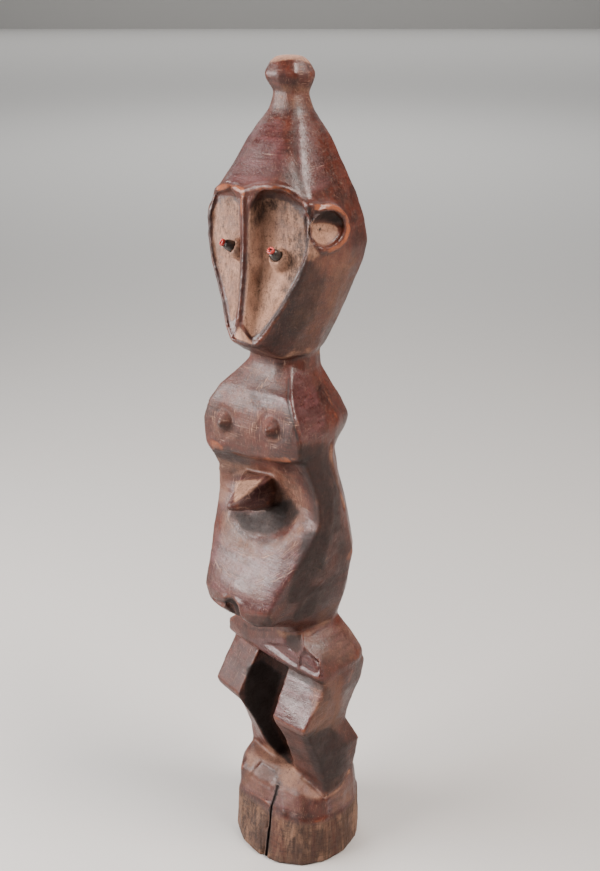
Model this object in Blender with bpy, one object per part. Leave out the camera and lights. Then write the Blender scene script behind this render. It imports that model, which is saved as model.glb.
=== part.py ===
"""Carved ancestor figure on a round foot, one piece of wood, with beaded eyes.

The figure faces -Y, stands on z = 0 and its left side is +X. The carving is drawn as feature lines,
the edges that a carver would mark on the block. Their points are millimetres on a figure 420 mm high,
(height, across, depth), and follow the figure's own height when that changes.
"""
import bpy
import bmesh
from math import cos, pi, radians, sin
from mathutils import Matrix, Vector

# Driving dimensions, in metres
FIGURE_HEIGHT = 0.420
BASE_DIAMETER = 0.070
BASE_SIDE_HEIGHT = 0.029
BASE_TOP_HEIGHT = 0.048
CRACK_WIDTH = 0.0016
CRACK_DEPTH = 0.007
BASE_EDGE = 0.0014
NUB_DIAMETER = 0.0076
NUB_LENGTH = 0.0036
SEAT_DEPTH = 0.0012
STUD_DIAMETER = 0.0052
STUD_LENGTH = 0.0044
BEAD_DIAMETER = 0.0035
BEAD_HOLE_DIAMETER = 0.0015
BEAD_LENGTH = 0.0016
FIT_CLEARANCE = 0.0003

# Turns about the upright axis, in degrees
BASE_TURN = 4.0
HEAD_TURN = 8.0
CRACK_TURN = -80.0
EYE_LIFT = {"left": 39.0, "right": 26.0}
EYE_SPLAY = {"left": 2.4, "right": 28.2}

# The drawing's own heights, in millimetres on the 420 mm figure, and the size of one of its millimetres
DRAWN = {"top": 420.0, "base_top": 48.0, "turn_starts": 145.0, "turn_ends": 250.0}
UNIT = (FIGURE_HEIGHT - BASE_TOP_HEIGHT) / (DRAWN["top"] - DRAWN["base_top"])

# Points (height, across, depth) where the eyes' nubs stand, and low round forms with their radii
# (across, depth, height), all on the drawing
EYE_FOOT = {"left": (337.2, 13.6, -30.3), "right": (338.8, -10.4, -30.2)}
BREASTS = {"left_breast": (259.6, 13.4, -37.6), "right_breast": (257.0, -14.6, -37.4)}
BREAST_RADII = (3.3, 3.2, 3.5)
EAR = ((350.6, 28.6, -16.2), (4.8, 13.4, 10.6))
EAR_CUP = ((350.8, 33.8, -19.4), (6.4, 11.4, 8.0))
HAND_NOTCH = ((157.0, 0.6, -53.0), (7.8, 13.0, 15.4))

# Shares: where the foot's slope bends, and across a face hollow where its floor starts and ends and
# where the flank of the nose ends, which is NOSE_FLANK on the drawing at most
SLOPE_SHARE = 0.62
FLOOR_SHARES = (0.3, 0.72)
NOSE_SHARE = 0.12
NOSE_FLANK = 2.0

# Edges of the left leg: inner front, outer front, outer side, outer back, inner back
LEG_LINES = [
    [(38, 5.0, -9.0), (47, 6.0, -9.5), (58, 10.5, -14.5), (78, 12.3, -22.0), (93, 13.4, -30.0),
     (97, 13.3, -31.4), (108, 12.3, -25.2), (124, 11.0, -16.0)],
    [(38, 31.0, -8.0), (47, 29.5, -8.0), (62, 28.2, -10.5), (78, 28.2, -16.5), (87, 29.5, -20.5),
     (93, 33.6, -27.6), (97, 34.4, -29.2), (108, 35.2, -21.0), (117, 35.4, -15.0), (124, 32.0, -10.0)],
    [(38, 32.5, 1.0), (50, 31.5, 1.0), (69, 31.6, 1.0), (82, 28.4, -2.0), (97, 31.5, -1.0),
     (108, 34.2, 2.0), (119, 35.2, 2.0), (124, 32.0, 2.0)],
    [(38, 29.5, 15.5), (50, 29.0, 15.0), (69, 31.6, 16.2), (83, 26.0, 10.5), (97, 28.5, 14.0),
     (108, 31.2, 17.4), (119, 31.6, 19.6), (124, 27.0, 17.0)],
    [(38, 8.0, 15.0), (69, 9.0, 16.0), (83, 9.6, 10.0), (97, 9.6, 14.0), (124, 9.5, 18.0)],
]

# Edges of the hips, from the middle of the front round to the middle of the back
PELVIS_LINES = [
    [(115.5, 0, -10.0), (120, 0, -13.5), (121.5, 0, -19.4), (125, 0, -20.6), (143, 0, -20.6),
     (147, 0, -18.0)],
    [(115.5, 13, -10.0), (120, 14, -13.5), (121.5, 15, -19.4), (125, 15, -20.6), (143, 11, -20.4),
     (147, 9, -17.6)],
    [(115.5, 33.0, -8.0), (117.5, 35.8, -13.6), (123, 35.8, -18.8), (131, 33.0, -20.2),
     (143, 18.8, -18.2), (147, 15.5, -15.5)],
    [(115.5, 30.5, -3.0), (123, 35.8, -5.0), (133, 30.5, -9.0), (143, 21.4, -8.0), (147, 18.6, -7.0)],
    [(115.5, 29.5, 10.5), (123, 34.8, 12.5), (133, 29.5, 8.0), (143, 22.0, 3.0), (147, 19.4, 3.0)],
    [(115.5, 25.5, 16.0), (123, 30.2, 20.2), (133, 24.2, 16.5), (143, 18.8, 11.8), (147, 16.8, 10.0)],
    [(115.5, 0, 19.0), (123, 0, 23.6), (133, 0, 20.0), (143, 0, 14.6), (147, 0, 12.6)],
]

# Edges of the trunk: middle of the front, two lines across the belly, the edge of hand, arm and
# shoulder, the arm's side, the edge behind the arm, the back's corner and its middle
TORSO_LINES = [
    [(143, 0, -19.6), (148, 0, -22.0), (155, 0, -40.5), (160, 0, -46.0), (168, 0, -48.0),
     (175, 0, -46.2), (187, 0, -37.8), (193, 0, -33.4), (199, 0, -27.0), (206, 0, -20.5),
     (215, 0, -19.0), (226, 0, -22.0), (236, 0, -25.5), (240.5, 0, -29.0), (242, 0, -36.0),
     (250, 0, -37.4), (258, 0, -38.0), (266, 0, -36.4), (274, 0, -32.8), (281, 0, -27.4),
     (286, 0, -25.6), (292, 0, -25.5)],
    [(143, 9, -19.4), (148, 10, -22.0), (154, 11, -40.0), (160, 11, -46.2), (168, 11, -47.2),
     (175, 11, -45.0), (187, 11, -37.6), (196, 11, -33.2), (202, 11, -27.5), (208, 11, -21.0),
     (215, 11, -19.0), (226, 11, -22.0), (236, 11, -25.5), (240.5, 11, -29.0), (243, 11, -36.2),
     (250, 12, -37.3), (258, 12, -38.0), (266, 12, -36.4), (274, 10, -32.8), (281, 8, -27.2),
     (286, 6.6, -25.0), (292, 6.5, -25.0)],
    [(143, 14.0, -18.8), (148, 15.5, -21.6), (156, 17.5, -38.0), (160, 18.2, -44.8),
     (168, 18.6, -45.6), (181, 19.4, -40.2), (193, 20.2, -34.2), (203.5, 19.6, -30.6),
     (209, 20.4, -25.6), (217, 21.4, -21.0), (226, 20.8, -22.0), (236, 19.8, -25.5),
     (242, 19.6, -28.6), (245, 21.0, -36.2), (250, 21.4, -37.2), (258, 21.4, -37.4),
     (266, 18.8, -36.3), (274, 15.8, -32.8), (281, 11.4, -26.2), (286, 9.6, -23.2), (292, 9.5, -23.0)],
    [(143, 17.6, -17.6), (148, 18.8, -20.6), (157, 21.4, -33.0), (161, 22.6, -43.0),
     (168, 23.2, -44.0), (181, 25.6, -38.4), (193, 30.0, -31.6), (200, 31.6, -27.4),
     (212, 33.6, -22.8), (224, 32.6, -23.6), (236, 29.4, -27.0), (244.5, 27.6, -30.4),
     (248, 29.0, -35.8), (258, 30.0, -36.4), (266, 26.4, -36.0), (274, 21.6, -32.8),
     (281, 15.8, -25.8), (286, 12.6, -20.8), (292, 12.4, -20.5)],
    [(143, 20.0, -8.0), (148, 21.8, -10.0), (157, 23.0, -27.5), (161, 24.2, -29.0),
     (172, 27.4, -23.0), (180, 30.6, -16.0), (200, 34.4, -18.0), (212, 35.4, -15.5),
     (224, 34.6, -15.5), (236, 31.8, -18.6), (244.5, 30.4, -21.0), (258, 29.6, -21.0),
     (266, 25.4, -20.0), (274, 19.6, -18.0), (281, 16.4, -15.0), (292, 15.8, -13.0)],
    [(143, 20.8, 3.0), (148, 23.2, 3.8), (161, 27.8, 5.0), (185, 31.0, 7.0), (200, 31.2, 3.0),
     (212, 31.2, -0.5), (224, 31.0, -6.0), (240, 28.8, -9.6), (248, 27.6, -8.0), (257, 28.4, -5.0),
     (266, 23.0, -4.0), (274, 17.6, -4.2), (281, 15.6, -6.0), (292, 15.2, -6.0)],
    [(143, 18.0, 11.2), (161, 21.6, 14.3), (185, 23.0, 16.6), (200, 21.5, 14.6), (212, 20.2, 12.4),
     (226, 18.0, 9.4), (240, 16.2, 8.6), (248, 20.0, 12.4), (255, 22.2, 13.6), (266, 17.8, 9.6),
     (274, 14.0, 6.4), (281, 11.4, 3.4), (292, 11.0, 3.0)],
    [(143, 0, 13.8), (161, 0, 17.5), (185, 0, 20.0), (212, 0, 16.0), (240, 0, 11.8), (248, 0, 14.5),
     (255, 0, 16.6), (266, 0, 13.0), (281, 0, 7.2), (292, 0, 7.0)],
]

# Edges of the head: the nose, the cheek beside it, the rim of the face, two lines behind the
# ear, the back's corner and its middle
HEAD_LINES = [
    [(288, 0, -20.0), (291, 0, -28.0), (295, 0, -34.5), (298.5, 0, -41.4), (308, 0, -43.0),
     (321, 0, -40.8), (332, 0, -39.2), (346, 0, -38.2), (362, 0, -38.4), (367, 0, -37.8),
     (372, 0, -33.4), (386, 0, -23.8), (398, 0, -13.6), (405, 0, -12.4)],
    [(288, 6, -20.0), (291, 8, -27.6), (295, 6.5, -34.0), (299, 6.4, -40.6), (308, 6.0, -41.0),
     (321, 9.0, -38.6), (332, 12.0, -36.8), (346, 14.0, -35.4), (362, 14.0, -35.6),
     (368.5, 14.0, -35.6), (373, 12.0, -30.8), (386, 7.5, -22.2), (398, 3.6, -13.4),
     (405, 3.2, -12.2)],
    [(288, 9.0, -17.0), (291, 13.0, -26.0), (295, 9.6, -33.0), (300, 9.6, -38.6), (305, 12.2, -38.0),
     (316, 18.2, -34.0), (331, 26.0, -31.0), (343, 29.8, -29.0), (354, 28.8, -28.2),
     (363, 27.6, -25.8), (372, 21.4, -22.8), (386, 15.0, -17.6), (398, 8.2, -11.2),
     (405, 5.8, -10.0)],
    [(288, 11.0, -12.0), (291, 17.2, -16.0), (300, 16.6, -25.5), (313, 23.5, -20.5),
     (331, 29.8, -18.5), (341, 31.2, -17.0), (356, 29.4, -16.0), (372, 22.8, -12.0),
     (386, 16.6, -8.5), (398, 9.2, -6.4), (405, 7.6, -6.0)],
    [(288, 11.0, -7.0), (291, 17.0, -8.0), (302, 21.4, -8.6), (313, 26.0, -7.0), (331, 30.6, -4.0),
     (341, 31.8, -3.0), (352, 30.0, -2.6), (372, 22.4, -2.0), (386, 16.4, -2.0), (398, 9.2, -3.2),
     (405, 7.6, -3.6)],
    [(288, 8.0, 0.0), (291, 13.4, 3.6), (302, 17.6, 7.2), (313, 21.0, 10.6), (331, 26.6, 15.4),
     (340, 28.0, 17.2), (351, 26.0, 16.0), (363, 22.8, 13.4), (372, 20.2, 10.2),
     (386, 14.4, 6.4), (398, 8.0, 1.8), (405, 5.6, 0.6)],
    [(288, 0, 3.0), (291, 0, 8.0), (313, 0, 18.0), (340, 0, 26.6), (363, 0, 21.0), (386, 0, 11.2),
     (398, 0, 4.6), (405, 0, 3.0)],
]

# Eye hollow: height, inner edge, outer edge, depth at the outer edge, in the middle and by the nose
EYE_HOLLOW = [
    (300.6, 3.6, 7.2, -38.8, -38.8, -39.4), (305.0, 2.2, 10.2, -37.2, -37.8, -39.0),
    (316.0, 1.5, 16.4, -33.2, -34.2, -35.8), (331.0, 1.4, 24.2, -29.8, -30.4, -32.8),
    (343.0, 1.4, 28.0, -27.9, -28.2, -31.4), (354.0, 1.6, 27.2, -27.0, -27.2, -30.8),
    (361.5, 2.4, 25.6, -26.0, -27.0, -31.2), (366.0, 5.0, 22.0, -28.6, -29.4, -32.6),
    (368.2, 9.5, 18.5, -33.0, -32.6, -33.6),
]

# How the chest's edge differs on the figure's right: height, drop, and fullness below the edge
RIGHT_CHEST = [(226, 0, 0), (236, 2.0, 2.2), (242, 4.2, 3.2), (244.5, 5.0, 3.2), (248, 3.2, 0.4),
               (262, 0, 0)]

# Reach of the foot's outline at 16 corners, as shares of its radius, from the left round by the front
FOOT_OUTLINE = [1.0, 1.0, 1.0, 0.99, 0.98, 0.99, 1.0, 1.0, 1.0, 1.0, 0.98, 1.0, 1.0, 0.98, 1.0, 1.0]
RIM_OUTLINE = [0.96, 0.95, 0.90, 0.82, 0.75, 0.80, 0.96, 0.98,
               0.97, 0.98, 0.97, 0.95, 0.93, 0.94, 0.97, 0.97]
SLOPE_OUTLINE = [0.94, 0.88, 0.74, 0.62, 0.58, 0.72, 0.93, 0.95,
                 0.94, 0.93, 0.9, 0.86, 0.85, 0.87, 0.91, 0.93]
TOP_OUTLINE = [0.86, 0.6, 0.46, 0.36, 0.34, 0.44, 0.66, 0.84, 0.86, 0.84, 0.8, 0.74, 0.7, 0.74, 0.8, 0.84]


def turn_at(height):
    """Angle of the body's slow turn at a drawn height."""
    share = (height - DRAWN["turn_starts"]) / (DRAWN["turn_ends"] - DRAWN["turn_starts"])
    return radians(HEAD_TURN) * min(1.0, max(0.0, share))


def place(height, across, depth):
    """A drawn point as a point in metres, turned with the body."""
    point = Vector((across * UNIT, depth * UNIT, BASE_TOP_HEIGHT + (height - DRAWN["base_top"]) * UNIT))
    return Matrix.Rotation(turn_at(height), 3, "Z") @ point


def along(line, height):
    """Point of a feature line at a height, straight between its own points."""
    for low, high in zip(line, line[1:]):
        if height <= high[0]:
            break
    share = min(1.0, max(0.0, (height - low[0]) / (high[0] - low[0])))
    return low[1] + (high[1] - low[1]) * share, low[2] + (high[2] - low[2]) * share


def heights_of(lines, closest=1.4):
    """Every height at which one of the lines bends, none closer than a limit to the one below."""
    chosen = []
    for height in sorted({point[0] for line in lines for point in line}):
        if not chosen or height - chosen[-1] >= closest:
            chosen.append(height)
    return chosen


def hang(height, across, depth):
    """A point of the body, lower and fuller where the chest's right side hangs below the left."""
    drop, fullness = along(RIGHT_CHEST, height)
    share = min(1.0, max(0.0, (-across - 8.0) / 14.0))
    return height - drop * share, across - fullness * share * 0.6, depth - fullness * share


def full_ring(lines, height):
    """Closed ring through both halves; the first and the last line lie on the middle plane."""
    half = [along(line, height) for line in lines]
    return half + [(-x, y) for x, y in reversed(half[1:-1])]


def new_object(name, mesh, collection):
    body = bpy.data.objects.new(name, mesh)
    collection.objects.link(body)
    return body


def loft(name, rings, collection):
    """Closed solid through rings of as many points each, given from the bottom upwards."""
    shape = bmesh.new()
    rows = [[shape.verts.new(point) for point in ring] for ring in rings]
    count = len(rows[0])
    for lower, upper in zip(rows, rows[1:]):
        for i in range(count):
            j = (i + 1) % count
            shape.faces.new((lower[i], lower[j], upper[j], upper[i]))
    shape.faces.new(list(reversed(rows[0])))
    shape.faces.new(rows[-1])
    bmesh.ops.recalc_face_normals(shape, faces=shape.faces)
    bmesh.ops.triangulate(shape, faces=shape.faces)
    mesh = bpy.data.meshes.new(name)
    shape.to_mesh(mesh)
    shape.free()
    return new_object(name, mesh, collection)


def loft_of_lines(name, lines, collection, side=0):
    """Loft through feature lines: both halves at once, or one side's limb when side is 1 or -1."""
    rings = []
    for height in heights_of(lines):
        if side:
            ring = [(side * x, y) for x, y in (along(line, height) for line in lines)]
        else:
            ring = full_ring(lines, height)
        rings.append([place(*hang(height, x, y)) for x, y in ring])
    return loft(name, rings, collection)


def boolean(body, tool, operation):
    """Apply one exact Boolean and drop the tool's object if it was only joined on."""
    modifier = body.modifiers.new(operation.lower(), "BOOLEAN")
    modifier.operation = operation
    modifier.solver = "EXACT"
    modifier.object = tool
    graph = bpy.context.evaluated_depsgraph_get()
    mesh = bpy.data.meshes.new_from_object(body.evaluated_get(graph))
    body.modifiers.remove(modifier)
    body.data = mesh
    if operation == "UNION":
        bpy.data.objects.remove(tool)


def rounded_base(collection):
    """Round foot with a nearly square upper rim and a sloping top that carries the legs."""
    radius = BASE_DIAMETER / 2
    slope_height = BASE_SIDE_HEIGHT + (BASE_TOP_HEIGHT - BASE_SIDE_HEIGHT) * SLOPE_SHARE
    rows = [(0.0, FOOT_OUTLINE, 0.98), (BASE_EDGE, FOOT_OUTLINE, 1.0),
            (BASE_SIDE_HEIGHT - BASE_EDGE, RIM_OUTLINE, 1.0), (BASE_SIDE_HEIGHT, RIM_OUTLINE, 0.97),
            (slope_height, SLOPE_OUTLINE, 1.0), (BASE_TOP_HEIGHT, TOP_OUTLINE, 1.0)]
    rings = []
    for height, shares, scale in rows:
        ring = []
        for i, share in enumerate(shares):
            angle = radians(BASE_TURN) - 2 * pi * i / len(shares)
            reach = radius * share * scale
            ring.append(Vector((reach * cos(angle), reach * sin(angle), height)))
        rings.append(ring)
    return loft("base", rings, collection)


def knob(collection):
    """Faceted mushroom knob on the crown, standing a little to the right of the head's point."""
    facets = 9
    rows = [(400.0, 6.0, 0.0), (404.5, 7.7, 0.0), (411.0, 11.3, -1.1), (413.2, 11.5, -1.2),
            (417.6, 8.8, -1.2), (419.4, 6.4, -1.2), (420.0, 3.4, -1.2)]
    rings = []
    for height, radius, across in rows:
        rings.append([place(height, across + radius * cos(2 * pi * i / facets),
                            -4.4 + radius * sin(2 * pi * i / facets)) for i in range(facets)])
    return loft("knob", rings, collection)


def navel_cone(collection):
    """Pointed navel, a cone with a broad upper facet, a steep left one and a hollow underside."""
    root = [(228.5, -14.0), (229.0, 4.5), (222.0, 7.5), (212.5, 5.5), (208.0, -3.0), (209.0, -12.0),
            (219.0, -17.0)]
    tip_height, tip_across = 220.2, -0.4
    rings = []
    for depth, spread in ((-16.0, 1.1), (-27.0, 0.9), (-39.0, 0.46), (-45.5, 0.27), (-49.2, 0.1)):
        rings.append([place(tip_height + (height - tip_height) * spread,
                            tip_across + (across - tip_across) * spread, depth)
                      for height, across in root])
    return loft("navel", rings, collection)


def ball(name, centre, radii, collection, side=1, segments=12, rings=8):
    """Low round form with three radii, in millimetres on the drawing; side -1 puts it on the right."""
    shape = bmesh.new()
    bmesh.ops.create_uvsphere(shape, u_segments=segments, v_segments=rings, radius=1.0)
    for vertex in shape.verts:
        x, y, z = (vertex.co[i] * radii[i] for i in range(3))
        vertex.co = place(centre[0] + z, side * centre[1] + x, centre[2] + y)
    mesh = bpy.data.meshes.new(name)
    shape.to_mesh(mesh)
    shape.free()
    return new_object(name, mesh, collection)


def eye_hollow(side, collection):
    """Cutter for one hollow of the heart-shaped face, from its outer rim to the ridge of the nose."""
    in_front = -60.0
    floor_start, floor_end = FLOOR_SHARES
    rings = []
    for height, inner, outer, at_rim, middle, at_nose in EYE_HOLLOW:
        spread = outer - inner
        flank = min(NOSE_FLANK, spread * NOSE_SHARE)
        half = [(inner, in_front), (outer, in_front), (outer, at_rim), (inner + spread * floor_end, middle),
                (inner + spread * floor_start, middle), (inner + flank, at_nose)]
        rings.append([place(height, side * x, y) for x, y in half])
    return loft("hollow", rings, collection)


def crack(collection):
    """Cutter for the drying crack, a wedge that runs up the foot's side and dies out on its slope."""
    turn = Matrix.Rotation(radians(CRACK_TURN), 3, "Z")
    fade = BASE_SIDE_HEIGHT + (BASE_TOP_HEIGHT - BASE_SIDE_HEIGHT) * 0.55
    rows = [(-BASE_EDGE, FOOT_OUTLINE[4], 1.0), (BASE_SIDE_HEIGHT, RIM_OUTLINE[4], 0.9),
            (fade, SLOPE_OUTLINE[4], 0.15)]
    rings = []
    for height, share, opening in rows:
        surface = BASE_DIAMETER / 2 * share
        depth = CRACK_DEPTH * opening
        half_width = CRACK_WIDTH * opening
        corners = ((surface - depth, 0.0), (surface + depth, half_width), (surface + depth, -half_width))
        rings.append([turn @ Vector((x, y, height)) for x, y in corners])
    return loft("crack", rings, collection)


def turned(name, profile, collection, segments=16):
    """Solid turned about local Z through (radius, height) pairs."""
    rings = [[Vector((r * cos(2 * pi * i / segments), r * sin(2 * pi * i / segments), h))
              for i in range(segments)] for r, h in profile]
    return loft(name, rings, collection)


def eye_frame(side_name):
    """Place of an eye: its foot on the hollow's floor, local Z along the stud."""
    outwards = 1 if side_name == "left" else -1
    splay = radians(HEAD_TURN) + outwards * radians(EYE_SPLAY[side_name])
    aim = Matrix.Rotation(splay, 4, "Z") @ Matrix.Rotation(radians(90 - EYE_LIFT[side_name]), 4, "X")
    return Matrix.Translation(place(*EYE_FOOT[side_name])) @ aim


def eye_nub(side_name, collection):
    """Wooden nub carved on the hollow's floor."""
    root, end = NUB_DIAMETER * 0.62, NUB_DIAMETER / 2
    nub = turned("nub", [(root, -NUB_LENGTH * 1.5), (root, NUB_LENGTH * 0.3), (end, NUB_LENGTH)],
                 collection, 10)
    nub.matrix_world = eye_frame(side_name)
    return nub


def eye_socket(side_name, collection):
    """Cutter for the seat of the stud in its nub."""
    radius = STUD_DIAMETER / 2 + FIT_CLEARANCE
    floor = NUB_LENGTH - SEAT_DEPTH
    socket = turned("socket", [(radius, floor), (radius, floor + STUD_LENGTH)], collection)
    socket.matrix_world = eye_frame(side_name)
    return socket


def eye_stud(side_name, collection):
    """Black stud seated in the nub, with a thin tip that passes through the bead."""
    radius = STUD_DIAMETER / 2
    tip = BEAD_HOLE_DIAMETER / 2 - FIT_CLEARANCE
    profile = [(radius, 0.0), (radius, SEAT_DEPTH), (radius * 0.9, STUD_LENGTH * 0.8),
               (radius * 0.74, STUD_LENGTH), (tip, STUD_LENGTH), (tip, STUD_LENGTH + BEAD_LENGTH * 0.8)]
    stud = turned(side_name + "_eye_stud", profile, collection)
    foot = NUB_LENGTH - SEAT_DEPTH + FIT_CLEARANCE
    stud.matrix_world = eye_frame(side_name) @ Matrix.Translation((0, 0, foot))
    stud.data.materials.append(material("black_stud", (0.012, 0.011, 0.011), 0.35))


def eye_bead(side_name, collection):
    """Red ring bead around the stud's tip."""
    ring_radius = (BEAD_DIAMETER + BEAD_HOLE_DIAMETER) / 4
    wire_radius = (BEAD_DIAMETER - BEAD_HOLE_DIAMETER) / 4
    bpy.ops.mesh.primitive_torus_add(major_radius=ring_radius, minor_radius=wire_radius,
                                     major_segments=18, minor_segments=8)
    bead = bpy.context.object
    bead.name = side_name + "_eye_bead"
    for owner in list(bead.users_collection):
        owner.objects.unlink(bead)
    collection.objects.link(bead)
    bead.data.transform(Matrix.Diagonal((1, 1, BEAD_LENGTH / (2 * wire_radius), 1)))
    back = NUB_LENGTH - SEAT_DEPTH + STUD_LENGTH + 2 * FIT_CLEARANCE
    bead.matrix_world = eye_frame(side_name) @ Matrix.Translation((0, 0, back + BEAD_LENGTH / 2))
    bead.data.shade_smooth()
    bead.data.materials.append(material("red_bead", (0.45, 0.03, 0.03), 0.3))


def material(name, colour, roughness):
    shade = bpy.data.materials.new(name)
    shade.use_nodes = True
    surface = shade.node_tree.nodes["Principled BSDF"]
    surface.inputs["Base Color"].default_value = (*colour, 1.0)
    surface.inputs["Roughness"].default_value = roughness
    surface.inputs["Metallic"].default_value = 0.0
    return shade


def carve_body(parts):
    """The wooden figure before its hollows are cut."""
    figure = rounded_base(parts)
    figure.name = "carved_figure"
    forms = [loft_of_lines("leg", LEG_LINES, parts, side) for side in (1, -1)]
    forms += [loft_of_lines(name, lines, parts) for name, lines in
              (("pelvis", PELVIS_LINES), ("torso", TORSO_LINES), ("head", HEAD_LINES))]
    forms += [knob(parts), navel_cone(parts)]
    for side in (1, -1):
        forms.append(ball("ear", *EAR, parts, side, 20, 12))
    for name, centre in BREASTS.items():
        forms.append(ball(name, centre, BREAST_RADII, parts))
    for form in forms:
        boolean(figure, form, "UNION")
    return figure


def cut(figure, tools):
    """Take cutters out of the figure and keep them as hidden wires."""
    for tool in tools:
        tool.hide_render = True
        tool.display_type = "WIRE"
        boolean(figure, tool, "DIFFERENCE")


def cut_hollows(figure, cutters):
    """Face hollows, ear cups, the notch between the hands and the drying crack in the foot."""
    tools = [crack(cutters), ball("hand_notch", *HAND_NOTCH, cutters, 1, 16, 10)]
    for side in (1, -1):
        tools.append(eye_hollow(side, cutters))
        tools.append(ball("ear_cup", *EAR_CUP, cutters, side, 20, 12))
    cut(figure, tools)


def set_eyes(figure, parts, cutters):
    """A nub in each hollow with a stud in its seat and a ring bead on the stud's tip."""
    for side_name in EYE_FOOT:
        boolean(figure, eye_nub(side_name, parts), "UNION")
        cut(figure, [eye_socket(side_name, cutters)])
        eye_stud(side_name, parts)
        eye_bead(side_name, parts)


def main():
    for item in list(bpy.data.objects):
        bpy.data.objects.remove(item)
    scene = bpy.context.scene
    parts = bpy.data.collections.new("ancestor_figure")
    cutters = bpy.data.collections.new("cutters")
    scene.collection.children.link(parts)
    scene.collection.children.link(cutters)
    figure = carve_body(parts)
    cut_hollows(figure, cutters)
    set_eyes(figure, parts, cutters)
    figure.data.materials.append(material("dark_oiled_wood", (0.075, 0.025, 0.016), 0.38))


main()
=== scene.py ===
from math import cos, pi, radians, sin

import bmesh
import bpy
import numpy as np
from mathutils import Matrix, Vector
from mathutils.bvhtree import BVHTree


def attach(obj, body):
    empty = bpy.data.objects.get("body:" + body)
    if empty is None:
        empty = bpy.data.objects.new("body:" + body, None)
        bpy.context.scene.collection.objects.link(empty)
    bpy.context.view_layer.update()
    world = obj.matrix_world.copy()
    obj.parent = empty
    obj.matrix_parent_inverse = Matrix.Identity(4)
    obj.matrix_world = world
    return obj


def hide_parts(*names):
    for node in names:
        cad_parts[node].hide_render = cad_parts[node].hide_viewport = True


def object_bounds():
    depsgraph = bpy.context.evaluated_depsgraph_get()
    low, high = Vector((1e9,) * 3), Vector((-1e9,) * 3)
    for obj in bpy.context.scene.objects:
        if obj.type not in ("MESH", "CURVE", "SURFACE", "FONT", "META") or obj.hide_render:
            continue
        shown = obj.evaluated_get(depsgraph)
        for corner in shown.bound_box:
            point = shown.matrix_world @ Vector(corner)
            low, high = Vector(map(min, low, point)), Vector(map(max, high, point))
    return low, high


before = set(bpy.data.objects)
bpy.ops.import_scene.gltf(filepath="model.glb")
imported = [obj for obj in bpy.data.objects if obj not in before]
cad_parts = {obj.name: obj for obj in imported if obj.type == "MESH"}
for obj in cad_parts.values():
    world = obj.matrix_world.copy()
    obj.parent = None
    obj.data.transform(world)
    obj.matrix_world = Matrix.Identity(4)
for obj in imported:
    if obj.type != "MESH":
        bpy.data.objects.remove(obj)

cadLow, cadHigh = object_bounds()
mm = 0.001
print("frame loaded")


# Camera, at the photograph's viewing angle. Pixels are those of the 600 x 871 picture.

photoView = {
    "turn": 46.0,           # degrees round from the way the legs face
    "pitch": 22.084,        # degrees downwards
    "distance": 0.4959,     # from the figure's upright axis
    "height": 0.44298,
    "focalPixels": 1080.0,
    "axisPixel": (298.0, 435.5),
    "size": (600, 871),
}


def makeCamera(view):
    data = bpy.data.cameras.new("camera")
    longSide = max(view["size"])
    data.lens = data.sensor_width * view["focalPixels"] / longSide
    data.shift_x = (view["size"][0] / 2 - view["axisPixel"][0]) / longSide
    data.clip_start, data.clip_end = 0.01, 50
    camera = bpy.data.objects.new("camera", data)
    bpy.context.scene.collection.objects.link(camera)
    turn = radians(view["turn"])
    place = Vector((sin(turn) * view["distance"], -cos(turn) * view["distance"], view["height"]))
    spin = Matrix.Rotation(turn, 4, "Z") @ Matrix.Rotation(radians(90 - view["pitch"]), 4, "X")
    camera.matrix_world = Matrix.Translation(place) @ spin
    bpy.context.scene.camera = camera
    return camera


camera = makeCamera(photoView)
toCamera = np.array(camera.matrix_world.inverted())
eye = np.array(camera.matrix_world.translation)


def pixelsOf(points):
    # where points in metres fall in the picture
    seen = points @ toCamera[:3, :3].T + toCamera[:3, 3]
    centre = photoView["axisPixel"]
    scale = photoView["focalPixels"] / -seen[:, 2]
    return centre[0] + seen[:, 0] * scale, centre[1] - seen[:, 1] * scale


def pointUnder(tree, pixel):
    # the point of the surface that the picture shows at a pixel
    centre = photoView["axisPixel"]
    ray = Vector((pixel[0] - centre[0], centre[1] - pixel[1], -photoView["focalPixels"]))
    ray = (camera.matrix_world.to_3x3() @ ray).normalized()
    hit = tree.ray_cast(Vector(eye), ray)[0]
    return None if hit is None else np.array(hit)


# The wood as arrays: points, faces and neighbours, so that strokes can push it about


class Wood:
    def __init__(self, mesh):
        self.mesh = mesh
        count = len(mesh.vertices)
        self.points = np.empty(count * 3)
        mesh.vertices.foreach_get("co", self.points)
        self.points = self.points.reshape(-1, 3)
        edges = np.empty(len(mesh.edges) * 2, int)
        mesh.edges.foreach_get("vertices", edges)
        self.edges = edges.reshape(-1, 2)
        self.degree = np.bincount(self.edges.ravel(), minlength=count).astype(float)
        self.refresh()

    def refresh(self):
        # puts the points back into the mesh and reads its normals
        self.mesh.vertices.foreach_set("co", self.points.ravel())
        self.mesh.update()
        normals = np.empty(len(self.points) * 3, np.float32)
        self.mesh.vertex_normals.foreach_get("vector", normals)
        self.normals = normals.reshape(-1, 3).astype(float)

    def average(self, values):
        # mean of each point's neighbours
        a, b = self.edges.T
        count = len(self.points)
        if values.ndim == 1:
            total = np.bincount(a, values[b], count) + np.bincount(b, values[a], count)
            return total / self.degree
        return np.stack([self.average(values[:, i]) for i in range(values.shape[1])], 1)

    def soften(self, rounds, amount=None):
        # moves each point half way to the mean of its neighbours, or less where amount is under 1
        share = 0.5 if amount is None else (amount * 0.5)[:, None]
        for _ in range(rounds):
            self.points += (self.average(self.points) - self.points) * share
        self.refresh()

    def tree(self):
        return BVHTree.FromPolygons(self.points, [tuple(face.vertices) for face in self.mesh.polygons])


def smooth(low, high, value):
    share = np.clip((value - low) / (high - low), 0.0, 1.0)
    return share * share * (3 - 2 * share)


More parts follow.
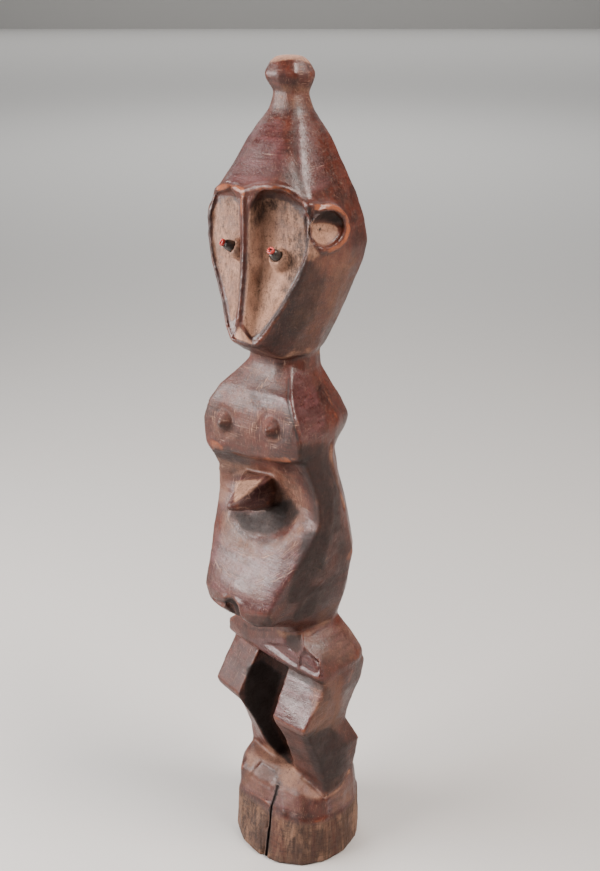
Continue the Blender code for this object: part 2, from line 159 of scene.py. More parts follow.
def distanceTo(points, line, reach):
    # the points within reach of a polyline, and their distances from it in metres
    line = np.asarray(line)
    low, high = line.min(0) - reach, line.max(0) + reach
    near = np.flatnonzero(((points > low) & (points < high)).all(1))
    best = np.full(len(near), np.inf)
    part = points[near]
    for start, end in zip(line, line[1:]):
        way = end - start
        share = np.clip((part - start) @ way / max(way @ way, 1e-12), 0, 1)
        best = np.minimum(best, np.linalg.norm(part - start - share[:, None] * way, axis=1))
    keep = best < reach
    return near[keep], best[keep]


def traced(tree, pixels):
    points = [pointUnder(tree, pixel) for pixel in pixels]
    return [point for point in points if point is not None]


def insidePixels(u, v, outline, soft):
    # 1 inside an outline drawn on the picture, fading to 0 over a few pixels beyond its edge
    outline = np.asarray(outline, float)
    inside = np.zeros(len(u), bool)
    gap = np.full(len(u), np.inf)
    for (x1, y1), (x2, y2) in zip(outline, np.roll(outline, -1, 0)):
        crosses = (y1 > v) != (y2 > v)
        edgeX = (x2 - x1) * (v - y1) / (y2 - y1 if y2 != y1 else 1e-9) + x1
        inside ^= crosses & (u < edgeX)
        length = (x2 - x1) ** 2 + (y2 - y1) ** 2
        share = np.clip(((u - x1) * (x2 - x1) + (v - y1) * (y2 - y1)) / length, 0, 1)
        gap = np.minimum(gap, np.hypot(u - x1 - share * (x2 - x1), v - y1 - share * (y2 - y1)))
    return np.where(inside, 1.0, 1.0 - smooth(0.0, soft, gap))


class View:
    # which points of the wood the picture shows, and where
    slack = 0.8 * mm    # a point this little behind the first hit still counts as shown

    def __init__(self, wood):
        self.wood = wood
        self.bvh = wood.tree()
        self.u, self.v = pixelsOf(wood.points)
        facing = ((eye - wood.points) * wood.normals).sum(1) > 0
        self.seen = np.zeros(len(wood.points), bool)
        start = Vector(eye)
        for i in np.flatnonzero(facing):
            target = Vector(wood.points[i])
            way = target - start
            reach = way.length
            hit = self.bvh.ray_cast(start, way)[3]
            self.seen[i] = hit is None or hit > reach - self.slack
        self.nearSeen = self.seen.astype(float)
        for _ in range(2):
            self.nearSeen = np.maximum(self.nearSeen, wood.average(self.nearSeen))

    def area(self, outline, soft):
        # strength of an outline's area at each point of the wood, 0 where the picture doesn't show it
        outline = np.asarray(outline, float)
        low, high = outline.min(0) - soft, outline.max(0) + soft
        near = (self.u > low[0]) & (self.u < high[0]) & (self.v > low[1]) & (self.v < high[1])
        near &= self.nearSeen > 0.2
        mask = np.zeros(len(self.u))
        picked = np.flatnonzero(near)
        mask[picked] = insidePixels(self.u[picked], self.v[picked], outline, soft)
        return mask


def stroke(view, pixels, width, depth):
    # a cut of some depth in metres along a line on the picture; a negative depth raises the wood
    wood = view.wood
    line = traced(view.bvh, pixels)
    if len(line) < 2:
        return
    near, gap = distanceTo(wood.points, line, width)
    push = depth * (1 - smooth(0.0, width, gap))
    wood.points[near] -= wood.normals[near] * push[:, None]


# The turn of the body, as in the solid: heights in metres, angles in degrees

bodyTurn = {"starts": 0.145, "ends": 0.250, "angle": 8.0}


def unturned(points):
    # the points as they would be if the head and chest faced the same way as the legs
    share = np.clip((points[:, 2] - bodyTurn["starts"]) / (bodyTurn["ends"] - bodyTurn["starts"]), 0, 1)
    angle = -np.radians(bodyTurn["angle"]) * share
    x = points[:, 0] * np.cos(angle) - points[:, 1] * np.sin(angle)
    y = points[:, 0] * np.sin(angle) + points[:, 1] * np.cos(angle)
    return np.stack([x, y, points[:, 2]], 1)


def linked(mesh, name):
    piece = bpy.data.objects.new(name, mesh)
    bpy.context.scene.collection.objects.link(piece)
    return piece


def evaluatedMesh(piece):
    graph = bpy.context.evaluated_depsgraph_get()
    return bpy.data.meshes.new_from_object(piece.evaluated_get(graph))


def remeshed(source, size):
    # one even skin over the solid, fine enough to carve
    mesh = source.data.copy()
    shape = bmesh.new()
    shape.from_mesh(mesh)
    bmesh.ops.remove_doubles(shape, verts=shape.verts, dist=0.002 * mm)
    shape.to_mesh(mesh)
    shape.free()
    piece = linked(mesh, "blank")
    modifier = piece.modifiers.new("remesh", "REMESH")
    modifier.mode = "VOXEL"
    modifier.voxel_size = size
    result = evaluatedMesh(piece)
    bpy.data.objects.remove(piece)
    return result


carving = {
    "skin": 0.7 * mm,           # size of the even skin's faces
    "triangles": 194000,        # at the end
    "crispRounds": 3,           # softening of every edge, as hands wear it
    "wornRounds": 6,            # further softening outside the crisp areas
    "markSize": 8.0 * mm,       # shallow facets left by the blade
    "markDepth": 0.24 * mm,
    "fibreDepth": 0.24 * mm,    # raised grain of the foot's bare side
    "seed": 7,
    "rawSide": (24.5, 28.5),    # heights in millimetres between which the foot's raw side ends
    # sharp joints that melt: heights in millimetres where the softening comes, is full, goes and is gone
    "brow": (364, 367, 376, 382),
    "hip": (108, 112, 124, 130),
    "foot": (40, 45, 50, 56),
    "neck": (284, 287, 291, 295),
    "browRounds": 20,
    "jointRounds": 12,
    "facetReach": (-2 * mm, 0.3 * mm),      # most that a planed facet takes away, and fills
    "dropReach": 9 * mm,                    # how far a breast reaches from its point
    "marksStart": (0.3, 1.5),   # heights in millimetres between which the blade marks begin
    # the crack: millimetres, but for the flare
    "lips": (0.8, 1.2),         # how far from its line the painted shade of the crack ends
    "crackEnd": 2.0,            # how far above its end
    "overRim": 1.5,             # how far the cutting blade stands out of the wood
    "flare": 1.25,              # how many times as wide the blade is there
    "below": -3.0,              # height at which the blade ends, under the foot
    # wear, dust and painted shade
    "rays": 14,                 # looks out from each point, to find how closed in it is
    "rayReach": 22 * mm,
    "rubbed": (0.12, 0.36),     # how far an edge stands out before it is rubbed, in millimetres
    "sunk": (0.08, 0.28),       # how far a groove lies in before dust stays, in millimetres
    "closedIn": (0.30, 0.66),   # share of the looks that are stopped before dust stays
    "closedInShade": (0.75, 0.90),       # the same for painted shade that darkens closed-in places
    "faceHollows": (300, 306, 366, 369),    # heights of the hollows of face and ears, in millimetres
    "fineNoise": 260,
    "wideNoise": 90,
    "sharpAngle": 48,           # degrees
}

# Areas on the picture that keep their edges: outline, fade in pixels
crispAreas = [
    ([(207, 184), (243, 182), (262, 180), (290, 182), (308, 198), (326, 201), (345, 208), (355, 224),
      (350, 244), (330, 257), (312, 268), (262, 350), (226, 340), (206, 250)], 5.0),
    ([(222, 470), (268, 472), (276, 506), (236, 520), (224, 508)], 4.0),
    ([(220, 590), (246, 590), (282, 606), (280, 632), (226, 634)], 4.0),
    ([(258, 100), (260, 50), (318, 50), (320, 100)], 3.0),
    ([(232, 632), (300, 632), (330, 690), (304, 736), (268, 720), (232, 700), (212, 675)], 3.0),
]
# Areas that are rubbed or cut into one soft form: outline, fade in pixels, rounds
softAreas = [
    ([(262, 108), (316, 106), (352, 180), (362, 205), (340, 203), (309, 200), (290, 184), (262, 181),
      (222, 183)], 4.0, 26),
    ([(264, 96), (314, 96), (322, 120), (258, 122)], 3.0, 14),
    ([(210, 392), (284, 384), (286, 408), (293, 440), (288, 455), (215, 440), (204, 415)], 5.0, 22),
    ([(218, 526), (240, 538), (290, 534), (312, 528), (304, 556), (286, 576), (272, 600), (244, 600),
      (220, 590), (212, 575)], 6.0, 20),
    ([(292, 638), (345, 618), (364, 645), (348, 668), (328, 690), (314, 684), (298, 664)], 5.0, 44),
    ([(240, 750), (262, 742), (290, 765), (324, 797), (318, 812), (275, 796), (242, 780)], 4.0, 10),
    ([(318, 262), (362, 258), (340, 330), (312, 344), (280, 344), (296, 300)], 8.0, 14),
    ([(334, 376), (356, 404), (354, 424), (338, 442), (326, 420)], 5.0, 26),
    ([(224, 500), (234, 498), (238, 512), (228, 514)], 3.0, 8),
]

# Corners that are worn round: spot on the picture, reach in millimetres, rounds
bluntSpots = [((346, 414), 10.0, 44), ((361, 648), 8.0, 24), ((366, 240), 10.0, 20), ((349, 767), 5.0, 8)]

# Lines on the picture that the blade or wear followed: pixels, width and depth in millimetres

cutLines = [
    # rims of the face, raised into a rounded lip
    ([(212, 197), (217, 190), (226, 187), (236, 188.5), (243, 193), (249, 189.5), (256, 187), (264, 185.8),
      (275, 186), (286, 189.5), (297, 196.5), (306, 205)], 3.0, -1.0),
    ([(308.5, 252), (305, 264), (299.5, 276), (290.5, 293), (281.5, 308), (273.5, 321), (264, 335),
      (257, 342)], 3.4, -0.2),
    ([(210.5, 210), (213, 224), (211.5, 240), (214.5, 259), (221, 277), (226, 296), (229.5, 312),
      (232, 326)], 1.6, -0.15),
    # ridge of the nose, narrow and raised between two grooves
    ([(243.5, 198), (243.8, 214), (244, 237), (242.8, 272), (240.8, 295), (238.8, 318), (236.5, 326)], 1.5,
      -0.8),
    ([(248.5, 204), (248.5, 237), (247, 272), (244.5, 298), (242, 318)], 1.6, 0.1),
    # rim of the ear and the fold where it meets the brow
    ([(310, 206), (318, 205.5), (327, 205.5), (336, 208), (343, 214), (347.5, 222), (348, 231),
      (344.5, 240), (337.5, 247), (329, 250.5), (321, 250)], 2.3, -1.0),
    ([(318, 197), (328, 197), (340, 201), (350, 210)], 4.0, 0.35),
    # fold of the coiffure: a soft groove with a fuller form on its right
    ([(295.4, 116), (295.2, 145), (296, 165), (299, 180), (305, 196)], 3.0, 0.22),
    ([(306, 122), (308, 145), (311, 165), (316, 184)], 6.0, -0.12),
    # step of the shoulder facet
    ([(288.5, 358), (288.5, 380), (288.3, 400), (290.5, 412), (294, 424), (297.5, 436), (299.5, 447)], 1.2,
      0.28),
    ([(292.5, 392), (294, 408), (297.5, 420), (301, 434)], 1.8, -0.3),
    ([(252, 392), (264, 394), (276, 396.5), (285, 399)], 3.5, -0.4),
    # groove behind the arm
    ([(331, 444), (330.5, 458), (334, 473), (338.5, 487), (344, 507)], 2.6, 0.7),
    # forearm edges
    ([(296, 466), (305, 477), (312, 490), (317.5, 504), (319.5, 520), (317.5, 533)], 2.4, -0.45),
    ([(322, 582), (305, 597), (294, 617)], 2.2, -0.4),
    # ridge of the navel and the crease round its foot
    ([(266, 477), (248, 492), (231, 507)], 1.8, -0.6),
    ([(232.5, 474), (250, 470.5), (272, 473), (276, 487), (275, 503)], 2.2, 0.5),
    ([(231, 505), (241, 506.5), (253, 506), (266, 502)], 4.5, -1.2),
    # cleft of the hands and the curl of the right one
    ([(214, 597), (224.5, 597), (230, 596), (236, 599), (240.5, 604.5), (242, 615)], 1.8, -0.7),
    ([(214, 599), (220, 604), (226, 603), (231, 606), (234, 613)], 1.6, 1.3),
    ([(217, 608), (223, 609), (228, 612)], 1.1, 0.7),
    ([(243, 612), (257, 614.5), (272, 613.5)], 1.2, -0.35),
    # ridge beside the shield on the hips
    ([(303, 634), (303, 650)], 1.3, -0.3),
    # cuts on the foot's slope
    ([(303, 778), (314, 787), (326, 797)], 1.8, 0.6),
    ([(326, 797), (335, 791), (349, 770)], 1.8, 0.5),
    ([(252, 776), (262, 762), (279, 772)], 1.6, 0.3),
    ([(247, 790), (262, 799), (271, 806)], 2.0, -0.35),
    ([(284, 813), (296, 818), (309, 823), (317, 822), (328, 817)], 2.0, -0.35),
    ([(281, 780), (286, 796), (290, 813)], 4.0, 0.5),
    ([(303, 790), (308, 804), (310, 820)], 4.0, 0.5),
    ([(272, 786), (274, 797), (275, 806)], 2.2, -0.4),
    ([(326, 799), (327, 808), (326, 817)], 2.2, -0.4),
    ([(233, 803), (234, 812)], 2.6, -0.9),
]

# Shallow facets cut flat: outline on the picture, fade in pixels, depth in millimetres

cutAreas = [
    # round the breasts
    ([(212, 422), (222, 407), (236, 418), (232, 434), (221, 441), (212, 433)], 5.0, 0.42),
    ([(257, 430), (268, 414), (285, 422), (283, 438), (271, 446), (260, 440)], 5.0, 0.42),
    # shield on the hips, mouth, patch on the foot
    ([(285, 633), (301.5, 633), (301.5, 650), (297, 655), (285.5, 647)], 2.0, 1.0),
    ([(239, 328), (234.5, 338), (254, 344.5)], 2.0, 0.5),
    ([(250.6, 776), (260.8, 763), (277, 773), (269, 787)], 3.0, 0.4),
    # front and cup of the ear
    ([(306, 216), (311, 214), (313, 222), (314, 236), (314, 243), (310, 244), (307, 234)], 2.5, 0.9),
    ([(311, 219), (316, 213), (325, 211.5), (334, 213), (341, 219), (343.5, 228), (341, 236), (334, 242),
      (324, 246.5), (318, 243), (311, 234)], 2.2, 1.2),
]

# Facets planed flat: outline on the picture, fade, a pixel they pass through, the way they face (round, up)
planedFacets = [
    ([(261, 643), (284, 646), (296, 657), (297, 668), (284, 662), (272, 657)], 1.5, (286, 662), 6.0, 34.0),
    ([(300, 656), (305, 652), (318, 662), (319, 678), (306, 672), (299, 668)], 1.5, (309, 674), 8.0, 34.0),
]

# Breasts: point of each on the picture, half width and reach above and below in pixels, height in millimetres
drops = [((223.0, 422.0), 7.8, 12.5, 10.5, 3.0), ((270.3, 428.5), 8.2, 12.0, 10.5, 3.2)]


def band(value, comes, full, goes, gone):
    return smooth(comes, full, value) * (1 - smooth(goes, gone, value))


def sculpt(mesh):
    wood = Wood(mesh)
    wood.soften(carving["crispRounds"])
    view = View(wood)
    print("points seen from the front:", int(view.seen.sum()))
    crisp = np.zeros(len(wood.points))
    for outline, soft in crispAreas:
        crisp = np.maximum(crisp, view.area(outline, soft))
    wood.soften(carving["wornRounds"], 1 - crisp)
    for outline, soft, rounds in softAreas:
        wood.soften(rounds, view.area(outline, soft))
    for pixel, reach, rounds in bluntSpots:
        gap = np.linalg.norm(wood.points - pointUnder(view.bvh, pixel), axis=1) / mm
        wood.soften(rounds, 1 - smooth(0.5, 1.0, gap / reach))
    x, y, z = (unturned(wood.points) / mm).T
    # the crease above the brow melts into the coiffure, and so do the sharp joints at hips, foot and neck
    wood.soften(carving["browRounds"], band(z, *carving["brow"]) * (1 - 0.7 * crisp))
    hip = band(z, *carving["hip"]) * smooth(26, 31, np.abs(x)) * (y > -20)
    foot = band(z, *carving["foot"]) * 0.8
    neck = band(z, *carving["neck"]) * 0.8
    knob = smooth(396, 400, z) * 0.3
    wood.soften(carving["jointRounds"], np.maximum.reduce([hip, foot, neck, knob]))
    view = View(wood)
    for outline, soft, depth in cutAreas:
        push = view.area(outline, soft) * depth * mm
        wood.points -= wood.normals * push[:, None]
    wood.refresh()
    for outline, soft, pixel, turn, rise in planedFacets:
        turn, rise = radians(turn), radians(rise)
        way = np.array([sin(turn) * cos(rise), -cos(turn) * cos(rise), sin(rise)])
        off = (pointUnder(view.bvh, pixel) - wood.points) @ way * view.area(outline, soft)
        wood.points += way[None, :] * np.clip(off, *carving["facetReach"])[:, None]
    wood.refresh()
    for (u, v), half, above, below, rise in drops:
        centre = pointUnder(view.bvh, (u, v))
        near = np.linalg.norm(wood.points - centre, axis=1) < carving["dropReach"]
        across = (view.u - u) / half
        along = np.where(view.v < v, (v - view.v) / above, (view.v - v) / below)
        reach = np.sqrt(across ** 2 + along ** 2)
        chest = wood.normals[near].mean(0)
        form = np.where(near & (view.nearSeen > 0), np.clip(1 - reach, 0, 1) ** 0.6, 0) * rise * mm
        wood.points += (chest / np.linalg.norm(chest))[None, :] * form[:, None]
    wood.refresh()
    for pixels, width, depth in cutLines:
        stroke(view, pixels, width * mm, depth * mm)
    wood.refresh()
    wood.soften(1)
    wood.points[:, 2] = np.clip(wood.points[:, 2], 0, cadHigh[2])
    wood.refresh()
    return wood


def bladeMarks(size, depth, fibreDepth, seed):
    # node tree: shallow blade facets all over and raised fibres on the foot's bare side
    tree = bpy.data.node_groups.new("bladeMarks", "GeometryNodeTree")
    sockets = tree.interface
    sockets.new_socket("Geometry", in_out="INPUT", socket_type="NodeSocketGeometry")
    for label, value in (("Mark Size", size), ("Mark Depth", depth),
                         ("Fibre Depth", fibreDepth), ("Seed", seed)):
        item = sockets.new_socket(label, in_out="INPUT", socket_type="NodeSocketFloat")
        item.default_value = value
    finish = sockets.new_socket("Finish", in_out="INPUT", socket_type="NodeSocketMaterial")
    sockets.new_socket("Geometry", in_out="OUTPUT", socket_type="NodeSocketGeometry")
    nodes, links = tree.nodes, tree.links

    def add(kind, **settings):
        node = nodes.new(kind)
        for key, value in settings.items():
            setattr(node, key, value)
        return node

    def math(operation, a, b):
        node = add("ShaderNodeMath", operation=operation)
        for socket, value in zip(node.inputs, (a, b)):
            if isinstance(value, (int, float)):
                socket.default_value = value
            else:
                links.new(value, socket)
        return node.outputs[0]

    start, end = add("NodeGroupInput"), add("NodeGroupOutput")
    position = add("GeometryNodeInputPosition")
    cells = add("ShaderNodeTexVoronoi", feature="SMOOTH_F1", voronoi_dimensions="4D")
    cells.inputs["Smoothness"].default_value = 0.35
    links.new(position.outputs[0], cells.inputs["Vector"])
    links.new(start.outputs["Seed"], cells.inputs["W"])
    links.new(math("DIVIDE", 1.0, start.outputs["Mark Size"]), cells.inputs["Scale"])
    ripple = add("ShaderNodeTexNoise", noise_dimensions="4D")
    ripple.inputs["Scale"].default_value = 220
    ripple.inputs["Detail"].default_value = 2
    links.new(position.outputs[0], ripple.inputs["Vector"])
    links.new(start.outputs["Seed"], ripple.inputs["W"])
    facets = math("ADD", math("SUBTRACT", cells.outputs["Distance"], 0.45),
                  math("MULTIPLY", math("SUBTRACT", ripple.outputs["Fac"], 0.5), 0.9))
    facets = math("MULTIPLY", facets, start.outputs["Mark Depth"])
    # fibres: noise drawn out along the upright
    squeeze = add("ShaderNodeVectorMath", operation="MULTIPLY")
    squeeze.inputs[1].default_value = (1.0, 1.0, 0.05)
    links.new(position.outputs[0], squeeze.inputs[0])
    fibres = add("ShaderNodeTexNoise")
    fibres.inputs["Scale"].default_value = 700
    fibres.inputs["Detail"].default_value = 3
    links.new(squeeze.outputs[0], fibres.inputs["Vector"])
    bare = add("GeometryNodeInputNamedAttribute", data_type="FLOAT")
    bare.inputs["Name"].default_value = "bare"
    fibreRelief = math("MULTIPLY", math("SUBTRACT", fibres.outputs["Fac"], 0.55), bare.outputs["Attribute"])
    fibreRelief = math("MULTIPLY", fibreRelief, math("MULTIPLY", start.outputs["Fibre Depth"], 4.0))
    normal = add("GeometryNodeInputNormal")
    carved = add("GeometryNodeInputNamedAttribute", data_type="FLOAT")
    carved.inputs["Name"].default_value = "carved"
    push = add("ShaderNodeVectorMath", operation="SCALE")
    links.new(normal.outputs[0], push.inputs[0])
    height = math("MULTIPLY", math("ADD", facets, fibreRelief), carved.outputs["Attribute"])
    links.new(height, push.inputs["Scale"])
    move = add("GeometryNodeSetPosition")
    links.new(start.outputs["Geometry"], move.inputs["Geometry"])
    links.new(push.outputs[0], move.inputs["Offset"])
    real = add("GeometryNodeRealizeInstances")
    links.new(move.outputs[0], real.inputs[0])
    paint = add("GeometryNodeSetMaterial")
    links.new(real.outputs[0], paint.inputs["Geometry"])
    links.new(start.outputs["Finish"], paint.inputs["Material"])
    links.new(paint.outputs[0], end.inputs[0])
    return tree, finish.identifier


def setAttribute(mesh, name, values):
    layer = mesh.attributes.get(name) or mesh.attributes.new(name, "FLOAT", "POINT")
    layer.data.foreach_set("value", np.ascontiguousarray(values, np.float32))


def footSide(points):
    # 1 on the foot's raw side, 0 above its rim
    return 1 - smooth(*carving["rawSide"], points[:, 2] / mm)


def occlusion(wood, rays, reach):
    # how much of the open sky each point has lost to the forms round it, 0 to 1
    bvh = wood.tree()
    golden = pi * (3 - 5 ** 0.5)
    ways = []
    for i in range(rays):
        up = 1 - (i + 0.5) / rays * 0.92
        side = (1 - up * up) ** 0.5
        ways.append((side * cos(golden * i), side * sin(golden * i), up))
    lost = np.zeros(len(wood.points))
    for i, (point, normal) in enumerate(zip(wood.points, wood.normals)):
        normal = Vector(normal)
        turn = normal.to_track_quat("Z", "Y")
        start = Vector(point) + normal * 0.4 * mm
        for way in ways:
            if bvh.ray_cast(start, turn @ Vector(way), reach)[0] is not None:
                lost[i] += 1
    return lost / rays


def softNoise(points, scale, seed):
    # soft value noise on points, 0 to 1
    cell = points * scale + seed * 17.13
    base = np.floor(cell)
    part = cell - base
    part = part * part * (3 - 2 * part)
    total = np.zeros(len(points))
    for corner in np.ndindex(2, 2, 2):
        corner = np.array(corner)
        weight = np.prod(np.where(corner, part, 1 - part), 1)
        value = np.sin((base + corner) @ np.array([12.9898, 78.233, 37.719])) * 43758.5453
        total += weight * (value - np.floor(value))
    return total


# Lines of wear, dust, dirt and painted shade on the picture: pixels, width in millimetres, strength

wearLines = [
    ([(212, 196), (218, 188), (227, 186), (236, 187.5), (242, 191)], 2.2, 0.95),
    ([(243, 193), (241.5, 200), (241.5, 214)], 1.6, 0.8),
    ([(250, 191), (258, 188.5), (266, 187), (277, 187.5), (288, 191.5), (297, 197), (305, 204.5)], 1.1,
      0.6),
    ([(316, 207.5), (325, 206), (334, 206.5), (341, 210), (347, 218), (349, 228), (346.5, 238), (340, 246),
      (330, 251)], 2.2, 1.0),
    ([(205, 412), (204, 426), (207, 440)], 3.0, 0.7),
    ([(211, 390), (206, 404), (204, 414)], 3.0, 0.5),
    ([(212, 443), (220, 447), (237, 454), (253, 458.5), (270, 460), (287, 460)], 3.4, 0.7),
    ([(288, 461), (298, 466), (306, 478), (313, 492), (318, 506), (319, 520)], 2.6, 0.45),
    ([(340, 468), (345, 486), (349, 500), (352, 520), (352, 540), (349.5, 556)], 4.5, 0.75),
    ([(330, 480), (337, 500), (342, 520)], 3.5, 0.4),
    ([(320, 378), (330, 400), (338, 424)], 2.4, 0.45),
    ([(348, 404), (349.5, 414), (347, 425), (338, 436)], 4.5, 0.75),
    ([(210, 560), (209, 580), (212, 600), (218, 610)], 1.8, 0.5),
    ([(352, 659), (360, 652), (364, 640)], 4.0, 0.5),
    ([(322, 676), (333, 670), (343, 663)], 2.6, 0.3),
    ([(239, 784), (246, 789), (261, 798), (271, 805.5)], 1.4, 0.5),
    ([(296, 817.5), (309, 822), (317, 821.5), (328, 816.5)], 1.4, 0.45),
    ([(251, 848), (265, 856), (285, 863), (316, 862), (340, 851), (355, 838)], 1.8, 0.8),
    ([(262, 70), (264, 78), (268, 90)], 2.2, 0.8),
    ([(266, 66), (273, 58), (283, 54), (295, 54), (305, 57)], 2.2, 0.6),
    ([(315, 78), (311, 86), (310, 92)], 2.0, 0.7),
    ([(310, 90), (313, 98), (322, 116)], 1.8, 0.5),
    ([(233, 803), (234, 812)], 1.5, 0.9),
    ([(352, 672), (346, 690), (340, 706)], 3.0, 0.4),
    ([(216, 678), (224, 686), (235, 694)], 1.6, 0.5),
    ([(304, 736), (312, 728), (322, 708), (327, 697)], 1.6, 0.5),
    ([(316, 734), (338, 745), (352, 762)], 3.0, 0.35),
]
paleLines = [    # dust caught along a crease
    ([(331, 446), (331, 458), (334.5, 473), (339, 487), (344.5, 506)], 2.2, 0.62),
    ([(277, 632), (289, 636), (297, 637), (306, 634), (318, 626), (330, 619), (340, 614)], 3.2, 0.53),
    ([(289, 771), (303, 779), (314, 788), (325, 797), (336, 791), (344, 782), (349, 771)], 2.0, 0.59),
    ([(250, 757), (262, 748), (275, 752)], 2.4, 0.37),
    ([(272, 88.5), (284, 88), (296, 88), (309, 90)], 3.0, 0.5),
    ([(255, 349), (269, 355), (281, 358), (292, 354), (307, 351), (319, 352)], 3.0, 0.56),
    ([(217, 446), (236, 457), (256, 462), (275, 463)], 2.0, 0.25),
    ([(236, 698), (244, 716), (252, 736)], 2.0, 0.22),
    ([(246, 641), (262, 655), (270, 660)], 1.6, 0.37),
    ([(210, 598), (218, 595), (228, 596), (236, 600)], 2.6, 0.31),
    ([(213, 604), (220, 611), (226, 613)], 2.0, 0.31),
    ([(271, 617), (273, 621)], 1.4, 0.56),
    ([(252, 428), (262, 412), (274, 410)], 1.6, 0.31),
    ([(212, 425), (218, 409), (232, 408)], 1.6, 0.31),
    ([(266, 440), (276, 441), (282, 437)], 1.4, 0.37),
    ([(216, 434), (224, 440), (232, 434)], 1.4, 0.37),
]
# dark lines, mostly painted shade: shadows in grooves and creases, beside the nose ridge, along the face's
# outer rim, under the chest, navel and hands, and a painted hole in the ear; dark streaks on the foot
darkLines = [
    ([(306, 201), (301, 186), (296, 165), (295.3, 140), (295.3, 116)], 2.2, 0.6),
    ([(288.5, 358), (288.5, 380), (288, 400), (290, 413), (294, 426), (298, 440)], 0.9, 0.9),
    ([(247.5, 204), (248, 237), (246.5, 272), (243.5, 300), (241, 320)], 1.4, 0.5),
    ([(308, 240), (306, 258), (300, 273), (291, 290), (282, 305), (273, 319), (262, 334)], 2.4, 0.85),
    ([(209, 212), (209, 240), (211, 262), (216, 282), (222, 300), (228, 322)], 1.8, 0.7),
    ([(308.5, 208), (309.5, 218)], 1.6, 0.7),
    ([(311, 246), (312.5, 256), (309, 266)], 1.6, 0.6),
    ([(242, 617), (244, 624), (249, 628), (259, 630), (272, 629.5)], 1.4, 0.8),
    ([(225, 602), (230, 600), (234, 603), (237, 608), (238, 615)], 2.4, 0.9),
    ([(300, 659), (306, 664), (312, 668)], 0.8, 0.8),
    ([(297, 656), (297.3, 667)], 0.9, 0.6),
    ([(207, 444), (220, 450), (237, 457), (254, 462), (271, 463.5)], 2.6, 0.35),
    ([(319.5, 229), (321.5, 231)], 1.0, 1.0),
    ([(228, 513), (240, 517), (254, 514), (266, 510), (273, 505)], 1.8, 0.5),
    ([(276, 770), (277, 783), (277, 794)], 1.6, 0.5),
    ([(301, 789), (308, 803), (311, 818)], 1.4, 0.35),
    ([(293, 700), (306, 699), (318, 701)], 0.8, 0.45),
    ([(288, 712), (300, 712), (312, 716)], 0.8, 0.35),
    ([(248, 813), (249, 835)], 1.4, 0.7),
    ([(255, 808), (256, 842)], 1.8, 0.8),
    ([(261, 812), (261, 850)], 1.2, 0.8),
    ([(243, 796), (243, 826)], 1.6, 0.7),
    ([(252, 796), (252, 812)], 1.4, 0.8),
    ([(283, 832), (283, 846)], 1.2, 0.5),
    ([(296, 820), (300, 832)], 3.0, 0.7),
    ([(313, 822), (316, 846)], 2.4, 0.4),
]

# Areas of one finish on the picture, some of them painted shade and painted sheen: outline, fade in pixels,
# strength

dustAreas = [
    ([(250, 210), (256, 203), (266, 199), (276, 199), (288, 203), (297, 211), (303, 220), (305, 232),
      (305, 246), (301, 262), (294, 278), (286, 293), (277, 308), (268, 321), (259, 332), (252, 336),
      (244, 324), (246, 296), (248, 272), (248.5, 237)], 2.5, 0.84),
    ([(238, 204), (231, 197), (223, 198), (217, 205), (213, 213), (214, 226), (213, 244), (216, 259),
      (222, 277), (227, 295), (230, 308), (232, 320), (236, 310), (238, 295), (239, 272), (239, 237)], 2.5,
      0.8),
    ([(239, 328), (236, 337), (251, 343)], 2.5, 1.1),
    ([(312, 225), (319, 224), (326, 224), (334, 226), (337, 229), (336, 235), (331, 240), (324, 244),
      (318, 242), (313, 236)], 3.0, 0.85),
    ([(266, 62), (278, 54), (292, 52), (304, 55), (313, 64), (302, 60), (290, 59), (277, 61)], 2.0, 0.75),
    ([(309, 240), (314, 250), (319, 254), (314, 259), (308, 260)], 4.0, 0.7),
    ([(268, 94), (310, 94), (314, 106), (264, 106)], 7.0, 0.34),
    ([(216, 460), (237, 465), (270, 470), (290, 476), (300, 492), (306, 508), (303, 518), (292, 524),
      (276, 528), (277, 510), (277, 482), (266, 472), (236, 472), (229, 480), (224, 500), (220, 500),
      (219, 480)], 8.0, 0.48),
    ([(226, 514), (236, 536), (254, 546), (272, 546), (288, 538), (300, 528), (296, 545), (278, 556),
      (242, 556), (224, 540)], 10.0, 0.46),
    ([(234, 518), (252, 518), (276, 508), (290, 506), (290, 524), (270, 536), (246, 532)], 6.0, 0.34),
    ([(236, 482), (262, 480), (250, 492), (235, 501)], 3.0, 0.85),
    ([(224, 556), (262, 556), (262, 600), (226, 590), (216, 576)], 12.0, 0.28),
    ([(322, 262), (350, 252), (352, 266), (341, 290), (330, 316), (310, 330), (296, 322), (304, 290)], 16.0,
      0.46),
    ([(300, 330), (318, 326), (316, 344), (296, 346)], 8.0, 0.4),
    ([(249, 754), (256, 746), (274, 748), (300, 778), (318, 797), (308, 796), (284, 782), (276, 768),
      (262, 758), (250, 766)], 8.0, 0.6),
    ([(248, 772), (280, 776), (300, 792), (304, 812), (272, 800), (244, 784)], 7.0, 0.4),
    ([(304, 645), (345, 625), (358, 645), (338, 660)], 12.0, 0.42),
    ([(254, 771), (263, 766), (272, 773), (267, 782)], 4.0, 0.45),
    ([(316, 690), (340, 680), (336, 728), (312, 732)], 10.0, 0.48),
    ([(212, 394), (246, 392), (250, 440), (214, 432)], 14.0, 0.28),
    ([(252, 366), (286, 368), (286, 388), (250, 384)], 10.0, 0.26),
    ([(332, 780), (350, 774), (353, 796), (334, 810)], 7.0, 0.48),
    ([(270, 730), (286, 745), (302, 772), (292, 766)], 5.0, 0.35),
    ([(250, 736), (258, 742), (254, 752), (249, 748)], 4.0, 0.45),
    ([(318, 614), (340, 604), (338, 612), (318, 624)], 6.0, 0.35),
]
